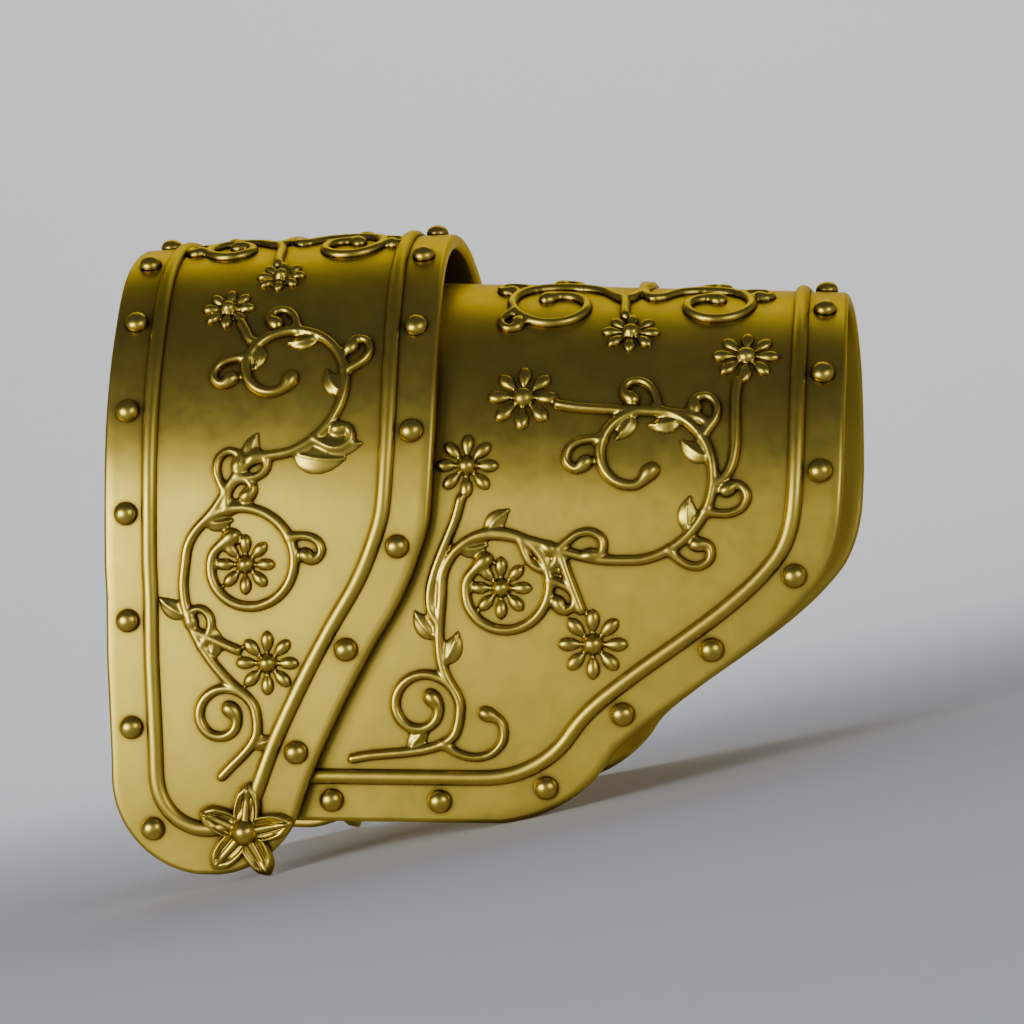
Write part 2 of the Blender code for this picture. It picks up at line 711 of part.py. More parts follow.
@dataclass
class Vine:
    """A vine scroll on one plate: volutes, the stems between them, and side shoots."""

    arch: Arch
    origin: float
    reach: float
    volutes: tuple
    links: tuple = ()
    roots: tuple = ()
    sprigs: tuple = ()

    def spiral(self, row: Volute) -> list[tuple]:
        """Points of a volute, from its outer end to its eye."""
        x = self.origin + row.along * self.reach
        v = row.down * self.arch.drop
        points = []
        share = 0.0
        while share < 1.0:
            radius = self.reach * row.radius * (row.eye / row.radius) ** (share ** 1.25)
            angle = math.radians(row.start + row.sweep * share)
            points.append((x + radius * math.cos(angle), v + radius * math.sin(angle)))
            step = min(math.radians(SCROLL_STEP_DEGREES), SCROLL_STEP / radius)
            share += step / math.radians(abs(row.sweep))
        angle = math.radians(row.start + row.sweep)
        radius = self.reach * row.eye
        points[-1] = (x + radius * math.cos(angle), v + radius * math.sin(angle))
        return points

    def heading(self, path: list[tuple], index: int) -> float:
        """Direction of a path at one of its points, in radians."""
        before = path[max(index - 1, 0)]
        after = path[min(index + 1, len(path) - 1)]
        return math.atan2(after[1] - before[1], after[0] - before[0])

    def stem(self, start: tuple, leave: float, end: tuple, arrive: float) -> list[tuple]:
        """A smooth run between two points that keeps the heading at both ends."""
        reach = math.hypot(end[0] - start[0], end[1] - start[1])
        steps = 2 * math.ceil(0.6 * reach / SCROLL_STEP) + 1
        points = []
        for i in range(steps + 1):
            t = i / steps
            weights = (2 * t ** 3 - 3 * t * t + 1, t ** 3 - 2 * t * t + t,
                       3 * t * t - 2 * t ** 3, t ** 3 - t * t)
            points.append(tuple(
                weights[0] * start[k] + weights[1] * reach * (math.cos, math.sin)[k](leave)
                + weights[2] * end[k] + weights[3] * reach * (math.cos, math.sin)[k](arrive)
                for k in (0, 1)))
        return points

    def shoot(self, row: Sprig, strand: list[tuple]) -> list[tuple]:
        """Points of a side shoot that curls up at its end."""
        index = round(row.at * (len(strand) - 1))
        x, v = strand[index]
        start = self.heading(strand, index) + math.radians(row.swing)
        step = row.length * self.reach / SPRIG_STEPS
        points = [(x, v)]
        for i in range(SPRIG_STEPS):
            share = (i + 0.5) / SPRIG_STEPS
            angle = start + math.radians(row.bend * share + row.curl * share * share)
            x += step * math.cos(angle)
            v += step * math.sin(angle)
            points.append((x, v))
        return points

    def strands(self) -> dict[str, list[tuple]]:
        """Every strand of the vine, by name."""
        found = {row.name: self.spiral(row) for row in self.volutes}
        for row in self.links:
            path = found[row.leaves]
            index = round(row.at * (len(path) - 1))
            target = found[row.joins]
            found[row.name] = self.stem(path[index], self.heading(path, index), target[0],
                                        self.heading(target, 0))
        for row in self.roots:
            start = (self.origin + row.along * self.reach, row.down * self.arch.drop)
            target = found[row.joins]
            found[row.name] = self.stem(start, math.radians(row.heading), target[0],
                                        self.heading(target, 0))
        for number, row in enumerate(self.sprigs):
            found[f"sprig_{number}"] = self.shoot(row, found[row.strand])
        return found

    def solids(self, sign: float) -> list[bpy.types.Mesh]:
        """One raised bar for each strand, and a flower in each volute that has one."""
        meshes = []
        for number, (name, path) in enumerate(self.strands().items()):
            path = [(x, sign * v) for x, v in path]
            size = 0.88 if name.startswith("sprig") else 1.0
            size -= 0.012 * (number % 5)
            scales = [size] * len(path)
            scales[-1] = 1.35 * size
            half = 0.5 * SCROLL_WIDTH
            profile = [(-half, 0.0), (0.0, SCROLL_HEIGHT), (half, 0.0)]
            lift = SEAT_GAP + 0.00004 * (number % 5)
            meshes.append(bar_mesh(self.arch, path, profile, scales, lift))
        for row in self.volutes:
            if row.rosette:
                x = self.origin + row.along * self.reach
                v = sign * row.down * self.arch.drop
                meshes.append(rosette_mesh(self.arch, x, v, row.rosette * self.reach, sign))
        return meshes


def crown_ties(vine: Vine) -> list[list[tuple]]:
    """Short stems over the crown that tie the front volutes to their mirror images."""
    ties = []
    for row in vine.volutes:
        path = vine.spiral(row)
        (x, v), heading = path[0], vine.heading(path, 0)
        ties.append(vine.stem((x, v), heading + math.pi, (x, -v), -heading))
    middles = []
    for path in ties:
        half = len(path) // 2
        middles.append(0.5 * (path[half - 1][0] + path[half][0]))
    steps = math.ceil(abs(middles[1] - middles[0]) / SCROLL_STEP)
    ties.append([(middles[0] + (middles[1] - middles[0]) * i / steps, 0.0)
                 for i in range(steps + 1)])
    return ties


def fuse(name: str, meshes: list[bpy.types.Mesh]) -> None:
    """Fuse raised bars into one body."""
    collection = bpy.data.collections.new(name)
    bodies = [bpy.data.objects.new(f"{name}_{i}", mesh) for i, mesh in enumerate(meshes)]
    trunk = bodies[0]
    bpy.context.scene.collection.objects.link(trunk)
    bpy.context.scene.collection.children.link(collection)
    for body in bodies[1:]:
        collection.objects.link(body)
    join = trunk.modifiers.new("join", "BOOLEAN")
    join.operation = "UNION"
    join.solver = "EXACT"
    join.operand_type = "COLLECTION"
    join.collection = collection
    view = bpy.context.evaluated_depsgraph_get()
    fused = bpy.data.meshes.new_from_object(trunk.evaluated_get(view))
    for body in bodies:
        bpy.data.objects.remove(body)
    bpy.data.collections.remove(collection)
    keep(name, fused, RELIEF_GILT)


def scroll_pieces() -> None:
    """Make the vine scrolls on both plates: front, back and over the crown."""
    front_vines = {
        "shoulder": Vine(SHOULDER, 0.0, SHOULDER_LENGTH, SHOULDER_VOLUTES, SHOULDER_LINKS,
                         SHOULDER_ROOTS, SHOULDER_SPRIGS),
        "arm": Vine(ARM, SHOULDER_LENGTH, ARM_REACH, ARM_VOLUTES, ARM_LINKS, ARM_ROOTS,
                    ARM_SPRIGS),
    }
    crown_vines = {
        "shoulder": Vine(SHOULDER, 0.0, SHOULDER_LENGTH, SHOULDER_CROWN_VOLUTES),
        "arm": Vine(ARM, SHOULDER_LENGTH, ARM_REACH, ARM_CROWN_VOLUTES),
    }
    for plate, vine in front_vines.items():
        for side, sign in (("front", 1.0), ("back", -1.0)):
            fuse(f"{plate}_scroll_{side}", vine.solids(sign))
    for plate, vine in crown_vines.items():
        half = 0.46 * SCROLL_WIDTH
        profile = [(-half, 0.0), (0.0, 0.94 * SCROLL_HEIGHT), (half, 0.0)]
        ties = [bar_mesh(vine.arch, path, profile, [1.0 - 0.03 * i] * len(path),
                         SEAT_GAP + 0.00006 * i) for i, path in enumerate(crown_ties(vine), 1)]
        fuse(f"{plate}_scroll_crown", ties + vine.solids(1.0) + vine.solids(-1.0))


def trimmed(path: list[tuple], clear_of: tuple, distance: float) -> list[tuple]:
    """The part of a path before it comes within a distance of a place."""
    kept = []
    for x, v in path:
        if math.hypot(x - clear_of[0], v - clear_of[1]) < distance:
            break
        kept.append((x, v))
    return kept


def spots_of(piece: bpy.types.Object) -> list[Vector]:
    """Corners of a piece in the armour frame."""
    return [piece.matrix_local @ vert.co for vert in piece.data.vertices]


def rest_on_floor(pieces: list[bpy.types.Object]) -> None:
    """Lay the armour on its lower corners, with its footprint centred on the origin."""
    bpy.context.view_layer.update()

    arm_side = [vert for piece in pieces if piece.name.startswith("arm")
                for vert in spots_of(piece)]
    shoulder_side = [vert for piece in pieces if not piece.name.startswith("arm")
                     for vert in spots_of(piece)]

    def lowest(spots: list[Vector], tilt: float) -> float:
        return min(math.cos(tilt) * spot.z - math.sin(tilt) * spot.x for spot in spots)

    low, high = 0.0, math.radians(45.0)
    for _ in range(40):
        tilt = 0.5 * (low + high)
        if lowest(shoulder_side, tilt) < lowest(arm_side, tilt):
            low = tilt
        else:
            high = tilt
    turn = Matrix.Rotation(tilt, 4, "Y")
    spots = [turn @ spot for spot in arm_side + shoulder_side]
    x_low, x_high = min(p.x for p in spots), max(p.x for p in spots)
    y_low, y_high = min(p.y for p in spots), max(p.y for p in spots)
    shift = Vector((-0.5 * (x_low + x_high), -0.5 * (y_low + y_high), -min(p.z for p in spots)))
    ARMOUR.rotation_euler = (0.0, tilt, 0.0)
    ARMOUR.location = shift


def build() -> None:
    """Model every piece of the armour."""
    shoulder_rows = plate_rows(SHOULDER, [row.down for row in SHOULDER_OUTLINE]
                               + arc_levels(SHOULDER, TIP_RADIUS, 0.0))
    arm_rows = plate_rows(ARM, [row.down for row in ARM_OUTLINE]
                          + arc_levels(ARM, ARM_FOOT_RADIUS, ELBOW_ARC_DEGREES))
    shoulder = keep("shoulder_plate", plate_mesh(SHOULDER, neck_edge, rim_edge, shoulder_rows,
                                                 SHOULDER_WALL),
                    SATIN_GILT)
    arm = keep("arm_plate", plate_mesh(ARM, hidden_edge, elbow_edge, arm_rows, ARM_WALL),
               SATIN_GILT)

    star = star_spot()
    star_room = STAR_RADIUS + SEAT_GAP
    bead_line = inset_path(neck_edge, rim_edge, shoulder_rows, BEAD_INSET, True)
    rim_bead = trimmed(bead_line, star, star_room)
    neck_bead = trimmed(list(reversed(bead_line)), star, star_room)
    bead_piece("shoulder_bead_rim", SHOULDER, both_sides(rim_bead))
    bead_piece("shoulder_bead_neck", SHOULDER, both_sides(neck_bead))

    visible_foot = inset_path(rim_over_arm, elbow_edge, arm_rows, BEAD_INSET, False)
    half_bead = 0.5 * BEAD_WIDTH
    arm_bead = [(x, v) for x, v in visible_foot
                if x > rim_over_arm(v) + half_bead or v < ARM.quarter]
    bead_piece("arm_bead", ARM, both_sides(arm_bead))

    border = inset_path(neck_edge, rim_edge, shoulder_rows, RIVET_INSET, True)
    rim_border = trimmed(border, star, star_room + RIVET_STAR_SPACE)
    neck_border = trimmed(list(reversed(border)), star, star_room + RIVET_STAR_SPACE)
    holes = rivet_row("rim", SHOULDER, rim_border, run_length(rim_border), ARM_SIDE_RIVETS,
                      THROUGH_RIVETS)
    rivet_row("neck", SHOULDER, neck_border, run_length(neck_border), NECK_SIDE_RIVETS, 0)
    foot = inset_path(rim_over_arm, elbow_edge, arm_rows, RIVET_INSET, False)
    arm_border = [(x, v) for x, v in foot
                  if x > rim_over_arm(v) + RIVET_DIAMETER or v < ARM.quarter]
    rivet_row("arm", ARM, arm_border, run_length(arm_border), ARM_PLATE_RIVETS, 0)

    star_piece("front", 1.0)
    star_piece("back", -1.0)
    scroll_pieces()
    cutter = hole_cutter(holes)
    drill(shoulder, cutter)
    drill(arm, cutter)
    rest_on_floor([piece for piece in ARMOUR.children if piece is not cutter])


for leftover in list(bpy.data.objects):
    bpy.data.objects.remove(leftover)
MATERIALS = {finish.name: finish.material() for finish in (SATIN_GILT, RELIEF_GILT, POLISHED_GILT)}
ARMOUR = bpy.data.objects.new("armour", None)
bpy.context.scene.collection.objects.link(ARMOUR)
build()
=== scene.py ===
"""A two-plate gilt pauldron on a pale studio floor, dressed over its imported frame.

The armour frame has X along the arm, Y through the arm towards the back and Z up, with its
zero height at the widest line of the plates. Every form is drawn on a plate's developed
surface, as x along the arm and v round from the crown line, positive towards the front,
with a lift out of the plate. The armour then leans onto its lower corners on the floor.
"""

import json
import logging
import math
from dataclasses import dataclass, field
from enum import Enum
from typing import Callable, NamedTuple

import bmesh
import bpy
import numpy as np
from mathutils import Matrix, Vector


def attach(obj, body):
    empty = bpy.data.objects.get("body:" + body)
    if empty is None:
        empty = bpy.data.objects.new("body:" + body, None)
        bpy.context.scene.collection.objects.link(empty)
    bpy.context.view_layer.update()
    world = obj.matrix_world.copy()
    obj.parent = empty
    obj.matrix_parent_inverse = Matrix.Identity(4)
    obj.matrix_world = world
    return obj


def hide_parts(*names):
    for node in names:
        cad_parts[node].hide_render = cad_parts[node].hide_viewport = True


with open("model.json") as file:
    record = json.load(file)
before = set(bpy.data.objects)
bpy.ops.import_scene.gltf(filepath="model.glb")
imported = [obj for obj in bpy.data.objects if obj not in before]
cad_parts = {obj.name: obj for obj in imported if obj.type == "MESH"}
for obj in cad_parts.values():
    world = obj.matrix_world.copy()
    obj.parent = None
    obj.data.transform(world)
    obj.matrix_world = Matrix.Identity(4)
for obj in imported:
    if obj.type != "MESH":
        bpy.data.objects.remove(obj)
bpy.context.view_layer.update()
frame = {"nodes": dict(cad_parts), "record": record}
LOG = logging.getLogger("pauldron")
BODY = "root"


class Side(Enum):
    """The two flanks of the armour, by the sign of their developed length."""

    FRONT = 1.0
    BACK = -1.0

    @property
    def word(self) -> str:
        """The side's name as the nodes spell it."""
        return self.name.lower()


class Slot(Enum):
    """The record's material slots."""

    SATIN = "satin_gilt"
    RELIEF = "relief_gilt"
    POLISHED = "polished_gilt"


class ShoulderRow(NamedTuple):
    """One level of the shoulder plate's outline: shares of its drop and its length."""

    down: float
    neck_edge: float
    arm_edge: float


class ArmRow(NamedTuple):
    """One level of the arm plate's elbow edge: shares of its drop and its reach."""

    down: float
    elbow_edge: float


class Volute(NamedTuple):
    """A spiral of the vine: centre and radii as shares of a plate, angles in degrees."""

    name: str
    along: float
    down: float
    radius: float
    start: float
    sweep: float
    eye: float
    rosette: float


class Link(NamedTuple):
    """A run of stem from a volute to the start of the next one."""

    name: str
    leaves: str
    at: float
    joins: str


class Root(NamedTuple):
    """The foot of a stem: a place on the plate and a heading that lead to a volute."""

    name: str
    along: float
    down: float
    heading: float
    joins: str


class Sprig(NamedTuple):
    """A side shoot: where it leaves its strand, and its length, bend and closing curl."""

    strand: str
    at: float
    swing: float
    length: float
    bend: float
    curl: float


class Leaf(NamedTuple):
    """A pointed leaf on a strand: where it grows, its swing in degrees and its length."""

    strand: str
    at: float
    swing: float
    length: float


class Bloom(NamedTuple):
    """A flower on its own stem: where the stem leaves its strand, and where the flower sits."""

    strand: str
    at: float
    swing: float
    along: float
    down: float
    radius: float


SHOULDER_OUTLINE = (
    ShoulderRow(0.00, -0.040, 0.970),
    ShoulderRow(0.14, -0.035, 0.980),
    ShoulderRow(0.29, -0.015, 1.000),
    ShoulderRow(0.43, -0.005, 1.010),
    ShoulderRow(0.54, 0.000, 1.000),
    ShoulderRow(0.60, 0.000, 0.960),
    ShoulderRow(0.65, 0.005, 0.910),
    ShoulderRow(0.71, 0.005, 0.825),
    ShoulderRow(0.78, 0.010, 0.735),
    ShoulderRow(0.86, 0.015, 0.645),
)
ARM_OUTLINE = (
    ArmRow(0.00, 0.985),
    ArmRow(0.18, 0.995),
    ArmRow(0.34, 1.000),
    ArmRow(0.46, 1.000),
    ArmRow(0.54, 0.995),
    ArmRow(0.58, 0.985),
    ArmRow(0.63, 0.955),
    ArmRow(0.68, 0.890),
    ArmRow(0.73, 0.800),
    ArmRow(0.78, 0.690),
    ArmRow(0.84, 0.550),
    ArmRow(0.89, 0.450),
)

SHOULDER_VOLUTES = (
    Volute("upper", 0.519, 0.356, 0.270, 95.0, -430.0, 0.046, 0.0),
    Volute("middle", 0.440, 0.604, 0.190, 175.0, 430.0, 0.094, 0.094),
    Volute("lower", 0.366, 0.798, 0.106, 5.0, -420.0, 0.036, 0.0),
)
SHOULDER_LINKS = (
    Link("lower_stem", "lower", 0.10, "middle"),
    Link("upper_stem", "middle", 0.10, "upper"),
)
SHOULDER_ROOTS = (Root("foot", 0.360, 0.872, -50.0, "lower"),)
SHOULDER_SPRIGS = (
    Sprig("upper", 0.12, 72.0, 0.20, 25.0, -285.0),
    Sprig("upper", 0.30, 74.0, 0.21, 25.0, -285.0),
    Sprig("upper", 0.46, 74.0, 0.20, 25.0, -285.0),
    Sprig("upper", 0.62, 70.0, 0.21, 30.0, -285.0),
    Sprig("middle", 0.20, -72.0, 0.19, -25.0, 285.0),
    Sprig("middle", 0.40, -72.0, 0.19, -25.0, 285.0),
    Sprig("lower_stem", 0.42, 64.0, 0.20, 10.0, -270.0),
    Sprig("upper_stem", 0.40, -66.0, 0.22, -10.0, 270.0),
    Sprig("upper_stem", 0.66, 62.0, 0.18, 10.0, -270.0),
)

ARM_VOLUTES = (
    Volute("upper", 0.500, 0.470, 0.245, 101.0, -430.0, 0.042, 0.0),
    Volute("middle", 0.171, 0.654, 0.150, 170.0, 430.0, 0.078, 0.078),
    Volute("lower", -0.026, 0.829, 0.097, 20.0, -430.0, 0.035, 0.0),
)
ARM_LINKS = (
    Link("lower_stem", "lower", 0.10, "middle"),
    Link("upper_stem", "middle", 0.12, "upper"),
)
ARM_ROOTS = (Root("foot", -0.200, 0.905, -15.0, "lower"),)
ARM_SPRIGS = (
    Sprig("upper", 0.09, 72.0, 0.18, 25.0, -285.0),
    Sprig("upper", 0.24, 74.0, 0.19, 25.0, -285.0),
    Sprig("upper", 0.37, 74.0, 0.19, 25.0, -285.0),
    Sprig("upper", 0.50, 72.0, 0.19, 25.0, -285.0),
    Sprig("upper", 0.64, 70.0, 0.18, 25.0, -285.0),
    Sprig("middle", 0.42, -70.0, 0.15, -25.0, 285.0),
    Sprig("upper_stem", 0.45, 64.0, 0.18, 10.0, -270.0),
    Sprig("upper_stem", 0.72, -64.0, 0.19, -10.0, 270.0),
    Sprig("foot", 0.70, 66.0, 0.26, -60.0, -160.0),
)

SHOULDER_CROWN_VOLUTES = (
    Volute("near_rim", 0.650, 0.096, 0.150, 205.0, 470.0, 0.045, 0.0),
    Volute("near_neck", 0.290, 0.092, 0.118, -25.0, -430.0, 0.040, 0.0),
)
ARM_CROWN_VOLUTES = (
    Volute("near_rim", 0.270, 0.166, 0.156, -22.0, -470.0, 0.050, 0.0),
    Volute("near_elbow", 0.655, 0.155, 0.135, 202.0, 450.0, 0.042, 0.0),
)

SHOULDER_LEAVES = (
    Leaf("upper", 0.05, 42.0, 0.170),
    Leaf("upper", 0.13, 60.0, 0.150),
    Leaf("upper", 0.20, -58.0, 0.105),
    Leaf("upper", 0.38, -58.0, 0.100),
    Leaf("upper", 0.54, -58.0, 0.090),
    Leaf("middle", 0.12, 52.0, 0.090),
    Leaf("lower_stem", 0.28, 55.0, 0.105),
    Leaf("lower_stem", 0.70, -55.0, 0.105),
    Leaf("upper_stem", 0.22, 55.0, 0.095),
    Leaf("upper_stem", 0.84, -55.0, 0.095),
    Leaf("foot", 0.55, 50.0, 0.085),
)
ARM_LEAVES = (
    Leaf("upper", 0.16, -58.0, 0.090),
    Leaf("upper", 0.31, -58.0, 0.090),
    Leaf("upper", 0.44, -58.0, 0.085),
    Leaf("upper", 0.57, -58.0, 0.080),
    Leaf("middle", 0.15, 52.0, 0.075),
    Leaf("lower_stem", 0.30, 55.0, 0.090),
    Leaf("lower_stem", 0.62, -55.0, 0.090),
    Leaf("upper_stem", 0.24, -55.0, 0.085),
    Leaf("upper_stem", 0.60, 55.0, 0.085),
    Leaf("foot", 0.40, -55.0, 0.080),
)

SHOULDER_BLOOMS = (
    Bloom("lower_stem", 0.52, -40.0, 0.505, 0.728, 0.100),
    Bloom("upper", 0.54, 60.0, 0.335, 0.250, 0.085),
)
ARM_BLOOMS = (
    Bloom("upper_stem", 0.62, 60.0, 0.395, 0.735, 0.088),
    Bloom("upper", 0.37, 80.0, 0.215, 0.372, 0.090),
    Bloom("upper", 0.30, 60.0, 0.755, 0.290, 0.085),
    Bloom("lower_stem", 0.78, -45.0, 0.085, 0.478, 0.080),
)
SHOULDER_CROWN_BLOOMS = (Bloom("near_neck", 0.00, 150.0, 0.475, 0.185, 0.080),)
ARM_CROWN_BLOOMS = (Bloom("near_rim", 0.00, 150.0, 0.465, 0.240, 0.075),)

SHOULDER_CROWN_SPRIGS = (
    Sprig("near_rim", 0.12, -70.0, 0.16, -25.0, 285.0),
    Sprig("near_rim", 0.30, -70.0, 0.15, -25.0, 285.0),
    Sprig("near_neck", 0.12, 70.0, 0.14, 25.0, -285.0),
    Sprig("near_neck", 0.30, 70.0, 0.14, 25.0, -285.0),
)
ARM_CROWN_SPRIGS = (
    Sprig("near_rim", 0.10, 70.0, 0.15, 25.0, -285.0),
    Sprig("near_rim", 0.24, 70.0, 0.15, 25.0, -285.0),
    Sprig("near_rim", 0.40, 70.0, 0.14, 25.0, -285.0),
    Sprig("near_elbow", 0.10, -70.0, 0.14, -25.0, 285.0),
    Sprig("near_elbow", 0.26, -70.0, 0.14, -25.0, 285.0),
)


@dataclass(frozen=True)
class EdgeCurve:
    """A smooth curve through a table's values, with no overshoot between its rows."""

    stations: tuple[float, ...]
    values: tuple[float, ...]

    def at(self, level: np.ndarray) -> np.ndarray:
        """Read the curve.

        Args:
            level: Developed lengths.

        Returns:
            The curve's value at each level.
        """
        rows, heights = np.array(self.stations), np.array(self.values)
        slopes = np.diff(heights) / np.diff(rows)
        inner = [2.0 * a * b / (a + b) if a * b > 0.0 else 0.0
                 for a, b in zip(slopes, slopes[1:])]
        tangents = np.concatenate(([slopes[0]], inner, [slopes[-1]]))
        level = np.clip(np.asarray(level, float), rows[0], rows[-1])
        row = np.clip(np.searchsorted(rows, level, side="right") - 1, 0, len(rows) - 2)
        span = rows[row + 1] - rows[row]
        t = (level - rows[row]) / span
        return ((1.0 + 2.0 * t) * (1.0 - t) ** 2 * heights[row]
                + t * t * (3.0 - 2.0 * t) * heights[row + 1]
                + t * (1.0 - t) ** 2 * span * tangents[row]
                + t * t * (t - 1.0) * span * tangents[row + 1])


@dataclass
class Arch:
    """The outer surface of a plate: half an ellipse over an almost straight skirt."""

    half_depth: float
    crown_start: float
    crown_end: float
    start_x: float
    end_x: float
    skirt_radius: float
    skirt: float
    turns: np.ndarray = field(init=False)
    lengths: np.ndarray = field(init=False)

    def __post_init__(self) -> None:
        """Measure the mean ellipse's arc, from the crown down to the widest line."""
        crown = 0.5 * (self.crown_start + self.crown_end)
        self.turns = np.linspace(0.0, math.pi / 2.0, 400)
        steps = np.hypot(
            np.diff(self.half_depth * np.sin(self.turns)), np.diff(crown * np.cos(self.turns))
        )
        self.lengths = np.concatenate(([0.0], np.cumsum(steps)))

    @property
    def quarter(self) -> float:
        """Length of the arc from the crown to the widest line."""
        return float(self.lengths[-1])

    @property
    def drop(self) -> float:
        """Length of the developed surface from the crown to the lower edge."""
        return self.quarter + self.skirt

    @property
    def reach(self) -> float:
        """Length of the plate along the arm."""
        return self.end_x - self.start_x

    def turn(self, v: np.ndarray) -> np.ndarray:
        """Angle round the arch at a developed length: past 90 degrees it is the skirt."""
        v = np.asarray(v, float)
        skirt = math.pi / 2.0 + (v - self.quarter) / self.skirt_radius
        return np.where(v <= self.quarter, np.interp(v, self.lengths, self.turns), skirt)

    def length_at(self, turn: np.ndarray) -> np.ndarray:
        """Developed length at an angle round the arch."""
        turn = np.asarray(turn, float)
        skirt = self.quarter + (turn - math.pi / 2.0) * self.skirt_radius
        return np.where(turn <= math.pi / 2.0, np.interp(turn, self.turns, self.lengths), skirt)

    def points(self, flat: np.ndarray) -> np.ndarray:
        """Lay developed points round the arch.

        Args:
            flat: Rows of x, developed length and lift.

        Returns:
            The same rows as X, Y, Z in the armour frame.
        """
        x, v, lift = np.asarray(flat, float).T
        turn = self.turn(np.abs(v))
        crown = self.crown_start + (self.crown_end - self.crown_start) * (
            (x - self.start_x) / self.reach)
        out = np.stack((np.sin(turn) / self.half_depth, np.cos(turn) / crown))
        out /= np.hypot(*out)
        fall = turn - math.pi / 2.0
        upper = turn <= math.pi / 2.0
        y = np.where(upper, self.half_depth * np.sin(turn),
                     self.half_depth - self.skirt_radius * (1.0 - np.cos(fall)))
        z = np.where(upper, crown * np.cos(turn), -self.skirt_radius * np.sin(fall))
        out_y = np.where(upper, out[0], np.cos(fall))
        out_z = np.where(upper, out[1], -np.sin(fall))
        side = np.where(v >= 0.0, -1.0, 1.0)
        return np.stack((x, side * (y + lift * out_y), z + lift * out_z), axis=1)

    def placing(self, x: float, v: float, lift: float) -> Matrix:
        """Frame on the surface: local Z out of the plate, local X along the arm."""
        step = 1e-4
        base, out, along = (Vector(p) for p in self.points(np.array(
            ((x, v, lift), (x, v, lift + step), (x + step, v, lift)))))
        out = (out - base).normalized()
        along = (along - base).normalized()
        across = out.cross(along).normalized()
        along = across.cross(out)
        return Matrix.Translation(base) @ Matrix((along, across, out)).transposed().to_4x4()


